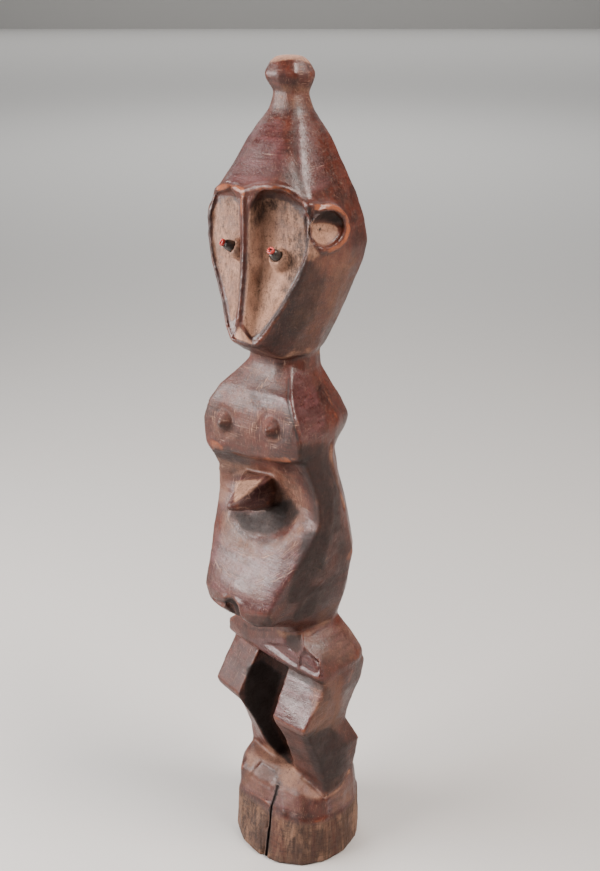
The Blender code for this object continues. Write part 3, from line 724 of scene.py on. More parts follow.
polishAndSheenAreas = [    # mauve and glossy: polished patina, and a painted sheen where the facets catch highlights
    ([(222, 536), (240, 552), (272, 554), (298, 538), (310, 540), (293, 568), (277, 598), (270, 608),
      (246, 606), (232, 590), (216, 586), (213, 562)], 10.0, 1.0),
    ([(244, 150), (258, 130), (276, 126), (281, 168), (262, 179), (232, 180)], 14.0, 0.8),
    ([(300, 124), (306, 128), (317, 160), (326, 182), (313, 188), (305, 176), (300, 150)], 11.0, 0.7),
    ([(290, 676), (321, 696), (302, 730), (275, 715)], 3.0, 1.6),
    ([(240, 643), (256, 655), (237, 687), (222, 675)], 4.0, 0.35),
    ([(252, 640), (283, 640), (296, 656), (297, 668), (275, 658)], 3.0, 1.3),
    ([(303, 642), (318, 650), (322, 677), (306, 672), (299, 664)], 4.0, 1.3),
    ([(293, 374), (306, 374), (323, 420), (320, 436), (303, 438), (293, 404)], 8.0, 0.75),
    ([(256, 393), (285, 398), (287, 406), (262, 400)], 5.0, 0.6),
    ([(234, 480), (264, 478), (266, 500), (248, 508), (232, 508), (228, 503)], 5.0, 0.7),
    ([(245, 788), (268, 799), (296, 812), (300, 803), (280, 791), (268, 789), (252, 782)], 5.0, 0.9),
    ([(330, 795), (349, 777), (353, 790), (350, 801), (330, 811)], 6.0, 0.8),
    ([(318, 622), (340, 565), (346, 560), (342, 600), (334, 614)], 12.0, 0.4),
    ([(316, 630), (345, 625), (355, 645), (335, 655)], 10.0, 0.6),
    ([(268, 66), (300, 66), (306, 80), (270, 82)], 6.0, 0.3),
]
stainAndShadeAreas = [    # old dark dirt and soot-dark patina, and painted shade: shadows under the brows, beside the nose, under the eye studs, in the ear cup, under the chest and the navel, between the legs and on the shaded arm, forearm and shin
    ([(222, 202), (238, 208), (238, 300), (232, 318), (226, 300), (214, 262), (213, 224)], 5.0, 0.42),
    ([(240, 643), (256, 655), (237, 687), (222, 675)], 4.0, 0.45),
    ([(222, 540), (250, 552), (250, 590), (222, 584)], 10.0, 0.3),
    ([(254, 204), (262, 198), (275, 196), (290, 200), (302, 211), (305, 224), (298, 226), (290, 214),
      (276, 208), (264, 210), (254, 226)], 9.0, 0.62),
    ([(296, 212), (303, 220), (304, 240), (299, 252), (294, 240), (296, 226)], 6.0, 0.6),
    ([(249, 204), (255, 206), (254, 246), (249, 246)], 4.0, 0.3),
    ([(299, 232), (305, 234), (305, 252), (292, 280), (285, 290), (291, 262)], 7.0, 0.7),
    ([(220, 196), (236, 196), (236, 208), (228, 204), (221, 206)], 6.0, 0.5),
    ([(213, 268), (220, 282), (226, 304), (222, 296), (215, 276)], 4.0, 0.5),
    ([(214, 224), (222, 224), (224, 236), (215, 240)], 4.0, 0.45),
    ([(215, 250), (224, 256), (226, 278), (218, 268)], 3.0, 0.4),
    ([(270, 254), (282, 250), (284, 260), (272, 264)], 4.0, 0.45),
    ([(225, 248), (234, 244), (236, 256), (228, 258)], 3.0, 0.5),
    ([(280, 216), (300, 220), (298, 262), (284, 262)], 7.0, 0.5),
    ([(272, 284), (284, 280), (276, 300), (264, 310)], 5.0, 0.3),
    ([(316, 212), (334, 213), (341, 220), (334, 221), (322, 218), (313, 220)], 4.0, 0.8),
    ([(238, 516), (252, 516), (266, 514), (277, 505), (290, 503), (296, 512), (288, 523), (268, 532),
      (246, 529)], 8.0, 1.0),
    ([(272, 484), (280, 486), (284, 500), (276, 504)], 6.0, 0.4),
    ([(214, 446), (240, 456), (262, 461), (240, 464), (216, 456)], 4.0, 0.55),
    ([(287, 636), (300, 636), (300, 649), (297, 652), (288, 645)], 3.0, 0.85),
    ([(311, 266), (322, 286), (312, 316), (287, 344), (270, 342), (290, 308)], 10.0, 0.6),
    ([(246, 617), (274, 618), (274, 625), (250, 625)], 4.0, 0.7),
    ([(248, 668), (262, 662), (280, 676), (268, 716), (280, 740), (290, 762), (270, 742), (246, 702)], 4.0,
      1.2),
    ([(304, 588), (320, 587), (311, 610), (296, 619)], 9.0, 0.85),
    ([(306, 536), (330, 530), (324, 560), (300, 600), (290, 600), (298, 570)], 8.0, 0.9),
    ([(248, 738), (262, 742), (260, 749), (250, 751)], 5.0, 0.5),
    ([(260, 768), (272, 773), (268, 782), (258, 776)], 4.0, 0.4),
    ([(240, 792), (266, 806), (264, 850), (240, 838)], 7.0, 0.5),
    ([(290, 818), (314, 824), (316, 836), (292, 832)], 6.0, 0.4),
    ([(246, 628), (262, 637), (270, 642), (262, 650), (248, 640)], 6.0, 0.4),
    ([(275, 726), (290, 740), (308, 770), (314, 784), (304, 774), (290, 754)], 7.0, 0.5),
    ([(302, 466), (318, 505), (320, 534), (338, 530), (334, 486), (322, 448), (300, 450)], 12.0, 0.85),
    ([(318, 540), (342, 530), (342, 570), (322, 600), (306, 600)], 12.0, 0.65),
    ([(306, 738), (330, 730), (344, 745), (340, 780), (326, 790), (318, 770)], 10.0, 0.85),
    ([(258, 346), (282, 354), (318, 344), (316, 334), (286, 345)], 6.0, 0.4),
    ([(296, 448), (316, 446), (322, 470), (306, 472)], 8.0, 0.3),
    ([(342, 180), (352, 190), (366, 224), (362, 232), (350, 206)], 6.0, 0.25),
    ([(324, 690), (330, 688), (330, 700), (325, 700)], 3.0, 0.6),
    ([(286, 664), (322, 683), (324, 692), (290, 674)], 2.5, 0.7),
]
scoredAreas = [    # scratched by a blade
    ([(208, 420), (218, 404), (232, 408), (238, 420), (226, 412), (214, 424)], 3.0, 1.0),
    ([(212, 432), (220, 442), (232, 436), (228, 430), (220, 436)], 3.0, 0.7),
    ([(252, 428), (262, 408), (290, 414), (298, 428), (282, 420), (266, 416), (258, 430)], 3.0, 1.0),
    ([(262, 442), (284, 438), (284, 446), (266, 448)], 3.0, 0.7),
    ([(316, 560), (334, 558), (334, 578), (318, 580)], 5.0, 0.5),
    ([(312, 684), (326, 682), (325, 722), (313, 724)], 5.0, 0.9),
    ([(248, 150), (272, 148), (278, 182), (246, 184)], 7.0, 0.35),
    ([(208, 450), (232, 458), (228, 480), (217, 480)], 6.0, 0.7),
    ([(252, 354), (286, 356), (287, 384), (262, 392), (288, 410), (290, 440), (214, 436), (206, 404),
      (232, 374)], 8.0, 0.5),
    ([(262, 90), (312, 90), (318, 108), (258, 108)], 6.0, 0.5),
    ([(298, 62), (316, 64), (316, 84), (302, 88)], 3.0, 0.8),
    ([(214, 536), (262, 548), (258, 590), (220, 586)], 12.0, 0.4),
    ([(222, 452), (300, 470), (304, 520), (276, 530), (232, 520), (220, 500)], 8.0, 0.5),
    ([(240, 643), (256, 655), (237, 687), (222, 675)], 4.0, 0.5),
    ([(280, 792), (304, 800), (312, 818), (290, 812), (276, 802)], 6.0, 0.35),
    ([(254, 200), (300, 204), (300, 250), (256, 250)], 10.0, 0.35),
    ([(240, 327), (236, 337), (251, 343)], 2.0, 0.8),
    ([(224, 540), (300, 545), (276, 600), (220, 590)], 10.0, 0.25),
    ([(299, 108), (307, 106), (318, 160), (320, 190), (306, 190), (300, 150)], 6.0, 0.2),
]


def paintLines(view, lines):
    wood = view.wood
    mask = np.zeros(len(wood.points))
    for pixels, width, strength in lines:
        line = traced(view.bvh, pixels)
        if len(line) < 2:
            continue
        near, gap = distanceTo(wood.points, line, width * mm)
        mask[near] = np.maximum(mask[near], strength * (1 - smooth(0.25, 1.0, gap / (width * mm))))
    return mask


def paintAreas(view, areas):
    mask = np.zeros(len(view.u))
    for outline, soft, strength in areas:
        mask = np.maximum(mask, view.area(outline, soft) * strength)
    return mask


def paintWood(mesh, crackLine):
    wood = Wood(mesh)
    view = View(wood)
    points = wood.points
    x, y, z = (unturned(points) / mm).T
    noiseFine = softNoise(points, carving["fineNoise"], 1)
    noiseWide = softNoise(points, carving["wideNoise"], 2)
    # how far each point stands above its surroundings
    blurred = points.copy()
    for _ in range(9):
        blurred = wood.average(blurred)
    stand = ((points - blurred) * wood.normals).sum(1) / mm
    lost = occlusion(wood, carving["rays"], carving["rayReach"])
    for _ in range(2):
        lost = wood.average(lost)
    edge = smooth(*carving["rubbed"], stand)
    crack = inCrack(points, crackLine)
    worn = edge * (0.10 + 0.40 * noiseWide) * (1 - 0.7 * footSide(points))
    worn = np.maximum(worn, paintLines(view, wearLines) * (0.45 + 0.55 * noiseFine)) * (1 - crack)
    hollow = smooth(*carving["closedIn"], lost) + smooth(*carving["sunk"], -stand) * 0.4
    # on the side away from the picture the hollows of face and ears hold the same dust
    hidden = 1 - view.nearSeen
    farHollow = band(z, *carving["faceHollows"]) * smooth(3.0, 4.5, np.abs(x)) * (lost > 0.2) * (y < -22)
    dust = np.maximum(np.clip(hollow, 0, 1) * (0.40 + 0.25 * hidden), farHollow * hidden * 0.9)
    dust = np.maximum(dust, paintAreas(view, dustAreas) * (0.75 + 0.25 * noiseWide))
    dust = np.maximum(dust, paintLines(view, paleLines) * (0.45 + 0.75 * noiseFine))
    # dark dirt together with painted shade, from the areas and from the dark lines
    stainAndShade = np.maximum(paintAreas(view, stainAndShadeAreas), paintLines(view, darkLines))
    setAttribute(mesh, "worn", worn)
    setAttribute(mesh, "dust", dust * (1 - crack))
    setAttribute(mesh, "bare", footSide(points))
    setAttribute(mesh, "polishAndSheen", paintAreas(view, polishAndSheenAreas))
    # painted shade: darker where the forms close a point in, and near black inside the crack, on top of the
    # dirt and shade painted above
    setAttribute(mesh, "stainAndShade", np.maximum.reduce([stainAndShade, smooth(*carving["closedInShade"], lost), crack * 1.6]))
    setAttribute(mesh, "scored", paintAreas(view, scoredAreas))
    for face in mesh.polygons:
        face.use_smooth = True
    mesh.set_sharp_from_angle(angle=radians(carving["sharpAngle"]))


def inCrack(points, line):
    # 1 in the crack and at its lips, by height and by angle round the upright
    line = line[np.argsort(line[:, 2])]
    angle = np.interp(points[:, 2], line[:, 2], np.arctan2(line[:, 1], line[:, 0]))
    gap = np.abs(np.arctan2(points[:, 1], points[:, 0]) - angle) * np.hypot(points[:, 0], points[:, 1]) / mm
    end = line[-1, 2]
    above = smooth(end, end + carving["crackEnd"] * mm, points[:, 2])
    return (1 - smooth(*carving["lips"], gap)) * (1 - above)


# Drying crack, on the picture: pixel, half width and depth in millimetres

crackPath = [((278, 786), 0.2, 0.8), ((274.5, 797), 0.3, 2.2), ((271.5, 806), 0.5, 4.5),
             ((270.6, 814), 0.65, 5.5), ((270, 823), 0.75, 6.5), ((268.3, 837), 0.7, 7.0),
             ((266.6, 850), 0.75, 7.5), ((266, 858), 0.8, 7.5)]


def crackBlade(tree):
    shape = bmesh.new()
    places = [(pointUnder(tree, pixel), half, depth) for pixel, half, depth in crackPath]
    places = [(Vector(place), half, depth) for place, half, depth in places if place is not None]
    place, half, depth = places[-1]
    places.append((Vector((place.x, place.y, carving["below"] * mm)), half, depth))
    rows = []
    for i, (place, half, depth) in enumerate(places):
        outwards = Vector((place.x, place.y, 0)).normalized()
        along = (places[min(i + 1, len(places) - 1)][0] - places[max(i - 1, 0)][0]).normalized()
        side = along.cross(outwards).normalized()
        rim = place + outwards * carving["overRim"] * mm
        lip = side * half * carving["flare"] * mm
        corners = (rim + lip, place - outwards * depth * mm, rim - lip)
        rows.append([shape.verts.new(corner) for corner in corners])
    for upper, lower in zip(rows, rows[1:]):
        for i in range(3):
            j = (i + 1) % 3
            shape.faces.new((upper[i], upper[j], lower[j], lower[i]))
    shape.faces.new(rows[0])
    shape.faces.new(list(reversed(rows[-1])))
    bmesh.ops.recalc_face_normals(shape, faces=shape.faces)
    mesh = bpy.data.meshes.new("crackBlade")
    shape.to_mesh(mesh)
    shape.free()
    return linked(mesh, "crackBlade")


def cracked(mesh):
    blade = crackBlade(Wood(mesh).tree())
    piece = linked(mesh, "whole")
    modifier = piece.modifiers.new("crack", "BOOLEAN")
    modifier.operation, modifier.solver, modifier.object = "DIFFERENCE", "EXACT", blade
    result = evaluatedMesh(piece)
    bpy.data.objects.remove(piece)
    bpy.data.objects.remove(blade)
    return result


def thinned(mesh, triangles):
    piece = linked(mesh, "thick")
    modifier = piece.modifiers.new("thin", "DECIMATE")
    modifier.ratio = triangles / (2 * len(mesh.polygons))
    result = evaluatedMesh(piece)
    bpy.data.objects.remove(piece)
    return result


def makeFigure(finish):
    mesh = remeshed(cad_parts["carved_figure"], carving["skin"])
    wood = sculpt(mesh)
    setAttribute(mesh, "bare", footSide(wood.points))
    setAttribute(mesh, "carved", smooth(*carving["marksStart"], wood.points[:, 2] / mm))
    print("strokes carved")
    piece = linked(mesh, "figureSkin")
    tree, finishSocket = bladeMarks(carving["markSize"], carving["markDepth"], carving["fibreDepth"],
                                    carving["seed"])
    modifier = piece.modifiers.new("marks", "NODES")
    modifier.node_group = tree
    modifier[finishSocket] = finish
    marked = evaluatedMesh(piece)
    bpy.data.objects.remove(piece)
    whole = thinned(marked, carving["triangles"])
    crackLine = np.array(traced(Wood(whole).tree(), [pixel for pixel, _, _ in crackPath]))
    result = cracked(whole)
    result.materials.clear()      # the walls of the crack would keep the CAD node's own finish
    result.materials.append(finish)
    result.polygons.foreach_set("material_index", [0] * len(result.polygons))
    print("blade marks and crack made:", len(result.polygons), "faces")
    paintWood(result, crackLine)
    figure = linked(result, "carvedFigure")
    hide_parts("carved_figure")
    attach(figure, "root")
    print("wood painted")


# Shader node groups that more than one material uses


def newGroup(name, inputs, outputs):
    tree = bpy.data.node_groups.new(name, "ShaderNodeTree")
    for label, kind, value in inputs:
        item = tree.interface.new_socket(label, in_out="INPUT", socket_type="NodeSocket" + kind)
        if value is not None:
            item.default_value = value
    for label, kind in outputs:
        tree.interface.new_socket(label, in_out="OUTPUT", socket_type="NodeSocket" + kind)
    return Pen(tree), tree.nodes.new("NodeGroupInput"), tree.nodes.new("NodeGroupOutput")


class Pen:
    # writes nodes into one tree
    def __init__(self, tree):
        self.tree = tree

    def add(self, kind, inputs=None, **settings):
        node = self.tree.nodes.new(kind)
        for key, value in settings.items():
            setattr(node, key, value)
        for key, value in (inputs or {}).items():
            self.put(node.inputs[key], value)
        return node

    def put(self, socket, value):
        if isinstance(value, bpy.types.NodeSocket):
            self.tree.links.new(value, socket)
        else:
            socket.default_value = value

    def math(self, operation, a, b, clamp=False):
        return self.add("ShaderNodeMath", {0: a, 1: b}, operation=operation, use_clamp=clamp).outputs[0]

    def plus(self, a, b, clamp=False):
        return self.math("ADD", a, b, clamp)

    def minus(self, a, b):
        return self.math("SUBTRACT", a, b)

    def times(self, a, b):
        return self.math("MULTIPLY", a, b)

    def larger(self, a, b):
        return self.math("MAXIMUM", a, b)

    def between(self, value, low, high, toLow=0.0, toHigh=1.0):
        ends = {"Value": value, "From Min": low, "From Max": high, "To Min": toLow, "To Max": toHigh}
        return self.add("ShaderNodeMapRange", ends, interpolation_type="SMOOTHSTEP").outputs["Result"]

    def tinted(self, colour, pattern, low, high, most, tint):
        # the colour turned towards a tint where the pattern goes from low to high, by its largest share
        return self.mix(self.between(pattern, low, high, 0.0, most), colour, tint)

    def mix(self, share, a, b):
        node = self.add("ShaderNodeMix", data_type="RGBA")
        self.put(node.inputs[0], share)
        self.put(node.inputs[6], a)
        self.put(node.inputs[7], b)
        return node.outputs[2]

    def noise(self, vector, scale, detail=3.0, roughness=0.55):
        node = self.add("ShaderNodeTexNoise", {"Vector": vector, "Scale": scale, "Detail": detail,
                                               "Roughness": roughness})
        return node.outputs["Fac"]

    def stretch(self, vector, factors, turn=(0, 0, 0)):
        node = self.add("ShaderNodeMapping", {"Vector": vector})
        node.inputs["Rotation"].default_value = turn
        node.inputs["Scale"].default_value = factors
        return node.outputs["Vector"]

    def attribute(self, name):
        return self.add("ShaderNodeAttribute", attribute_name=name, attribute_type="GEOMETRY").outputs["Fac"]

    def group(self, tree, inputs):
        node = self.add("ShaderNodeGroup", node_tree=tree)
        for key, value in inputs.items():
            self.put(node.inputs[key], value)
        return node


def scratchGroup():
    # fine broken scratches drawn out along one axis of the vector
    pen, start, end = newGroup("fineScratches", [("Vector", "Vector", None), ("Fineness", "Float", 900.0),
                                                 ("Share", "Float", 0.5)], [("Lines", "Float")])
    vector = start.outputs["Vector"]
    lines = pen.noise(vector, start.outputs["Fineness"], 2.0, 0.5)
    broken = pen.noise(vector, pen.times(start.outputs["Fineness"], 0.13), 2.0)
    sharp = pen.between(lines, 0.60, 0.70)
    kept = pen.between(broken, pen.minus(0.75, pen.times(start.outputs["Share"], 0.4)), 0.8)
    pen.put(end.inputs["Lines"], pen.times(sharp, kept))
    return pen.tree


maskInputs = [("Vector", "Vector", None), ("Mask", "Float", 0.0), ("Amount", "Float", 1.0)]


def dustGroup():
    # a dust film that is thick where its mask is, and broken up into grains at its edge
    pen, start, end = newGroup("dustFilm", maskInputs, [("Cover", "Float"), ("Grain", "Float")])
    vector = start.outputs["Vector"]
    patches = pen.noise(vector, 140.0, 4.0, 0.65)
    grain = pen.noise(vector, 1500.0, 2.0, 0.7)
    mixed = pen.plus(pen.times(patches, 0.75), pen.times(grain, 0.35))
    level = pen.times(start.outputs["Mask"], start.outputs["Amount"])
    cover = pen.between(pen.plus(level, mixed), 0.66, 1.46)
    pen.put(end.inputs["Cover"], pen.times(cover, pen.between(level, 0.02, 0.25)))
    pen.put(end.inputs["Grain"], grain)
    return pen.tree


def wearGroup():
    # rubbed edges, broken by a blotchy noise
    pen, start, end = newGroup("rubbedEdges", maskInputs, [("Rubbed", "Float")])
    blotches = pen.noise(start.outputs["Vector"], 330.0, 4.0, 0.6)
    level = pen.times(start.outputs["Mask"], start.outputs["Amount"])
    pen.put(end.inputs["Rubbed"], pen.between(pen.plus(level, pen.times(blotches, 0.8)), 0.62, 1.15))
    return pen.tree


woodLook = {
    "patina": (0.027, 0.0074, 0.0056, 1.0),
    "patinaRed": (0.072, 0.0155, 0.0088, 1.0),
    "patinaBlack": (0.0060, 0.0032, 0.0028, 1.0),
    # lighter mauve: polished patina with a painted sheen
    "polishAndSheen": (0.082, 0.030, 0.031, 1.0),
    "rubbed": (0.240, 0.068, 0.025, 1.0),
    "dust": (0.420, 0.232, 0.152, 1.0),
    "dustBrown": (0.185, 0.086, 0.050, 1.0),
    "dustDark": (0.052, 0.024, 0.016, 1.0),
    "bareWood": (0.205, 0.108, 0.066, 1.0),
    "bareDark": (0.014, 0.009, 0.007, 1.0),
    # near black, for old dirt and for painted shade
    "stainAndShade": (0.0090, 0.0042, 0.0032, 1.0),
    "score": (0.420, 0.250, 0.175, 1.0),
    "navel": (-0.001, -0.030, 0.2185),      # middle of the arcs on the belly, in metres
}


def woodMaterial(scratches, dusting, rubbing):
    look = woodLook
    material = bpy.data.materials.new("handWornWood")
    material.use_nodes = True
    pen = Pen(material.node_tree)
    shader = material.node_tree.nodes["Principled BSDF"]
    place = pen.add("ShaderNodeTexCoord").outputs["Object"]
    upright = pen.stretch(place, (1.0, 1.0, 0.10))
    # patina: red-brown to near black in soft drifts, with the grain running upright through it
    drift = pen.noise(place, 55.0, 5.0, 0.62)
    grain = pen.noise(upright, 520.0, 5.0, 0.65)
    mottle = pen.noise(place, 620.0, 4.0, 0.7)
    colour = pen.mix(pen.between(drift, 0.36, 0.64), look["patina"], look["patinaRed"])
    colour = pen.tinted(colour, grain, 0.45, 0.72, 0.6, look["patinaBlack"])
    colour = pen.tinted(colour, mottle, 0.50, 0.68, 0.55, look["dustDark"])
    streaks = pen.noise(pen.stretch(place, (0.14, 0.14, 1.0)), 430.0, 4.0, 0.68)
    colour = pen.tinted(colour, streaks, 0.50, 0.66, 0.50, look["patinaRed"])
    blur = pen.times(pen.minus(pen.noise(place, 190.0, 6.0, 0.7), 0.5), 0.9)
    # polished patina and painted sheen: lighter mauve and glossier where the facets catch highlights
    polishAndSheen = pen.between(pen.plus(pen.attribute("polishAndSheen"), blur), 0.10, 1.05)
    sheen = pen.mix(pen.between(streaks, 0.62, 0.44, 0.0, 0.6), look["polishAndSheen"], look["patina"])
    colour = pen.mix(polishAndSheen, colour, sheen)
    pores = pen.noise(pen.stretch(place, (1.0, 1.0, 0.3)), 1700.0, 3.0, 0.7)
    colour = pen.tinted(colour, pores, 0.57, 0.72, 0.26, look["dust"])
    colour = pen.tinted(colour, pores, 0.44, 0.30, 0.55, look["patinaBlack"])
    # rubbed edges
    rubbed = pen.group(rubbing, {"Vector": place, "Mask": pen.attribute("worn"), "Amount": 1.0})
    rubbed = rubbed.outputs["Rubbed"]
    colour = pen.mix(pen.times(rubbed, 0.75), colour, look["rubbed"])
    # bare, weathered side of the foot
    stripes = pen.noise(pen.stretch(place, (1.0, 1.0, 0.09)), 620.0, 7.0, 0.78)
    weather = pen.noise(pen.stretch(place, (1.0, 1.0, 0.45)), 95.0, 5.0, 0.6)
    bareColour = pen.mix(pen.between(stripes, 0.34, 0.66), look["bareDark"], look["bareWood"])
    bareColour = pen.tinted(bareColour, weather, 0.40, 0.66, 0.85, look["dustDark"])
    bareColour = pen.tinted(bareColour, weather, 0.52, 0.40, 0.55, look["bareWood"])
    bareColour = pen.tinted(bareColour, pen.noise(upright, 90.0, 4.0), 0.52, 0.70, 0.45, look["patinaRed"])
    crossCuts = pen.noise(pen.stretch(place, (0.25, 0.25, 1.0)), 900.0, 3.0, 0.7)
    bareColour = pen.tinted(bareColour, crossCuts, 0.50, 0.64, 0.45, look["bareDark"])
    bare = pen.times(pen.attribute("bare"), pen.between(pen.noise(place, 160.0, 4.0), 0.2, 0.4, 0.7, 1.0))
    colour = pen.mix(bare, colour, bareColour)
    # dust, with dark dirt worked into it
    film = pen.group(dusting, {"Vector": place, "Mask": pen.attribute("dust"), "Amount": 1.0})
    dirt = pen.noise(pen.stretch(place, (1.0, 1.0, 0.35)), 520.0, 6.0, 0.8)
    specks = pen.between(pen.noise(place, 1300.0, 3.0, 0.75), 0.53, 0.65)
    specks = pen.larger(pen.between(dirt, 0.50, 0.66), specks)
    clouds = pen.between(pen.noise(place, 120.0, 5.0, 0.65), 0.36, 0.64, 0.35, 1.0)
    dustColour = pen.mix(pen.between(pen.attribute("dust"), 0.35, 0.85), look["dustBrown"], look["dust"])
    dustColour = pen.mix(pen.times(specks, clouds), dustColour, look["dustDark"])
    dustColour = pen.tinted(dustColour, pen.noise(place, 90.0, 4.0), 0.45, 0.68, 0.5, look["dustBrown"])
    cover = pen.times(film.outputs["Cover"], pen.minus(1.0, pen.times(bare, 0.7)))
    colour = pen.mix(pen.times(cover, 0.94), colour, dustColour)
    # old dirt and painted shade from the stain mask, near black in the crack and in the deepest painted shade
    sootAndShade = pen.noise(pen.stretch(place, (1.0, 1.0, 0.4)), 560.0, 6.0, 0.8)
    sootAndShade = pen.plus(sootAndShade, pen.times(pen.attribute("stainAndShade"), 0.34))
    sootAndShade = pen.between(pen.plus(sootAndShade, pen.times(blur, 0.12)), 0.52, 0.86)
    drifts = pen.between(pen.plus(pen.attribute("stainAndShade"), blur), 0.12, 1.15)
    stainedAndShaded = pen.plus(pen.times(sootAndShade, cover), pen.times(drifts, pen.minus(1.0, cover)))
    # near black painted shade where the mask is strongest: the crack walls and the gap between the legs
    black = pen.between(pen.attribute("stainAndShade"), 0.95, 1.3)
    stainedAndShaded = pen.larger(stainedAndShaded, black)
    colour = pen.mix(pen.times(stainedAndShaded, 0.94), colour, look["stainAndShade"])
    # fine scratches in two directions, more of them where a blade has scored the wood
    scored = pen.attribute("scored")
    share = pen.plus(0.40, scored)
    across = pen.stretch(place, (0.10, 0.10, 1.0), (0.2, 0.35, 0.0))
    slanted = pen.stretch(place, (1.0, 0.10, 0.10), (0.0, 0.9, 0.5))
    first = pen.group(scratches, {"Vector": across, "Fineness": 2000.0, "Share": share})
    second = pen.group(scratches, {"Vector": slanted, "Fineness": 1900.0, "Share": share})
    lines = pen.larger(first.outputs["Lines"], second.outputs["Lines"])
    # arcs cut round the navel
    offset = pen.add("ShaderNodeVectorMath", {0: place, 1: look["navel"]}, operation="SUBTRACT").outputs[0]
    flat = pen.add("ShaderNodeVectorMath", {0: offset, 1: (1.0, 0.3, 1.0)}, operation="MULTIPLY").outputs[0]
    ring = pen.add("ShaderNodeVectorMath", {0: flat}, operation="LENGTH").outputs["Value"]
    wobble = pen.times(pen.noise(place, 60.0, 3.0), 0.006)
    ringNoise = pen.add("ShaderNodeTexNoise", {"W": pen.times(pen.plus(ring, wobble), 1600.0),
                                               "Scale": 1.0, "Detail": 2.0}, noise_dimensions="1D")
    broken = pen.between(pen.noise(place, 170.0, 3.0), 0.40, 0.62)
    arcs = pen.times(pen.between(ringNoise.outputs["Fac"], 0.56, 0.70), broken)
    reach = pen.between(ring, 0.016, 0.060, 1.0, 0.0)
    arcs = pen.times(arcs, pen.times(reach, pen.larger(polishAndSheen, cover)))
    pale = pen.times(lines, pen.plus(0.34, pen.times(scored, 0.45)))
    pale = pen.larger(pale, pen.times(arcs, 0.75))
    pale = pen.times(pale, pen.minus(1.0, stainedAndShaded))
    colour = pen.mix(pale, colour, look["score"])
    pen.put(shader.inputs["Base Color"], colour)
    # gloss: polished patina, matt dust and bare wood
    rough = pen.between(pen.noise(place, 150.0, 5.0, 0.65), 0.3, 0.7, 0.30, 0.46)
    rough = pen.minus(rough, pen.times(polishAndSheen, 0.08))
    rough = pen.plus(rough, pen.between(mottle, 0.5, 0.7, 0.0, 0.18))
    dull = pen.larger(pen.times(cover, 0.95), bare)
    for mask, share in ((stainedAndShaded, 0.70), (black, 1.3), (scored, 0.55)):
        dull = pen.larger(dull, pen.times(mask, share))
    rough = pen.plus(rough, pen.times(dull, 0.45))
    rough = pen.plus(rough, pen.times(pale, 0.25), clamp=True)
    pen.put(shader.inputs["Roughness"], rough)
    # relief finer than the carving
    relief = pen.times(grain, 0.5)
    for pattern, share in ((mottle, 0.5), (pores, 0.45), (streaks, 0.9), (pen.times(stripes, bare), 2.2),
                           (pen.times(film.outputs["Grain"], cover), 0.9)):
        relief = pen.plus(relief, pen.times(pattern, share))
    relief = pen.minus(relief, pen.times(pale, 0.6))
    bump = pen.add("ShaderNodeBump", {"Height": relief, "Strength": 0.7, "Distance": 0.3 * mm})
    pen.put(shader.inputs["Normal"], bump.outputs["Normal"])
    shader.inputs["Specular IOR Level"].default_value = 0.42
    return material


# Eyes: a worn black stud and a red ring bead on each side, on the CAD pieces' own axis

eyes = {
    "stud": (0.008, 0.007, 0.007, 1.0),
    "studWorn": (0.030, 0.025, 0.023, 1.0),
    "ring": (0.420, 0.036, 0.030, 1.0),
    "ringDeep": (0.240, 0.014, 0.014, 1.0),
    "dust": (0.330, 0.225, 0.160, 1.0),
    "studRoughness": 0.32,
    "ringRoughness": 0.25,
    "segments": 36,         # round the stud and the ring
    "wireSegments": 18,     # round the ring's own thickness
    "steps": 7,             # up the tapering side of the stud
    "taper": 0.34,          # share of its radius that the stud loses up to its shoulder
    "taperCurve": 1.7,
    "bevel": 0.06 * mm,     # at the stud's tip
}


def beadMaterial(name, base, deep, roughness, dusting, rubbing):
    look = eyes
    material = bpy.data.materials.new(name)
    material.use_nodes = True
    pen = Pen(material.node_tree)
    shader = material.node_tree.nodes["Principled BSDF"]
    place = pen.add("ShaderNodeTexCoord").outputs["Object"]
    colour = pen.mix(pen.between(pen.noise(place, 900.0, 4.0), 0.35, 0.7), look[base], look[deep])
    rubbed = pen.group(rubbing, {"Vector": place, "Mask": 0.25, "Amount": 0.8}).outputs["Rubbed"]
    colour = pen.mix(pen.times(rubbed, 0.25), colour, look["studWorn"])
    film = pen.group(dusting, {"Vector": place, "Mask": 0.26, "Amount": 1.0})
    cover = pen.times(film.outputs["Cover"], 0.35)
    colour = pen.mix(cover, colour, look["dust"])
    pen.put(shader.inputs["Base Color"], colour)
    pen.put(shader.inputs["Roughness"], pen.plus(pen.times(cover, 0.5), look[roughness]))
    bump = pen.add("ShaderNodeBump", {"Height": pen.noise(place, 2200.0, 2.0), "Strength": 0.25,
                                      "Distance": 0.1 * mm})
    pen.put(shader.inputs["Normal"], bump.outputs["Normal"])
    return material


def meshPoints(node):
    return np.array([vertex.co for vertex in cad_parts[node].data.vertices])


def turnedMesh(name, profile, frameMatrix, closed):
    # rings of points round the local upright; a closed profile makes a ring, an open one gets caps
    shape = bmesh.new()
    segments = eyes["segments"]
    angles = [2 * pi * i / segments for i in range(segments)]
    rows = [[shape.verts.new((radius * cos(angle), radius * sin(angle), height)) for angle in angles]
            for radius, height in profile]
    pairs = list(zip(rows, rows[1:])) + ([(rows[-1], rows[0])] if closed else [])
    for lower, upper in pairs:
        for i in range(segments):
            j = (i + 1) % segments
            shape.faces.new((lower[i], lower[j], upper[j], upper[i]))
    if not closed:
        shape.faces.new(list(reversed(rows[0])))
        shape.faces.new(rows[-1])
    bmesh.ops.recalc_face_normals(shape, faces=shape.faces)
    mesh = bpy.data.meshes.new(name)
    shape.to_mesh(mesh)
    shape.free()
    mesh.transform(frameMatrix)
    for face in mesh.polygons:
        face.use_smooth = True
    return mesh


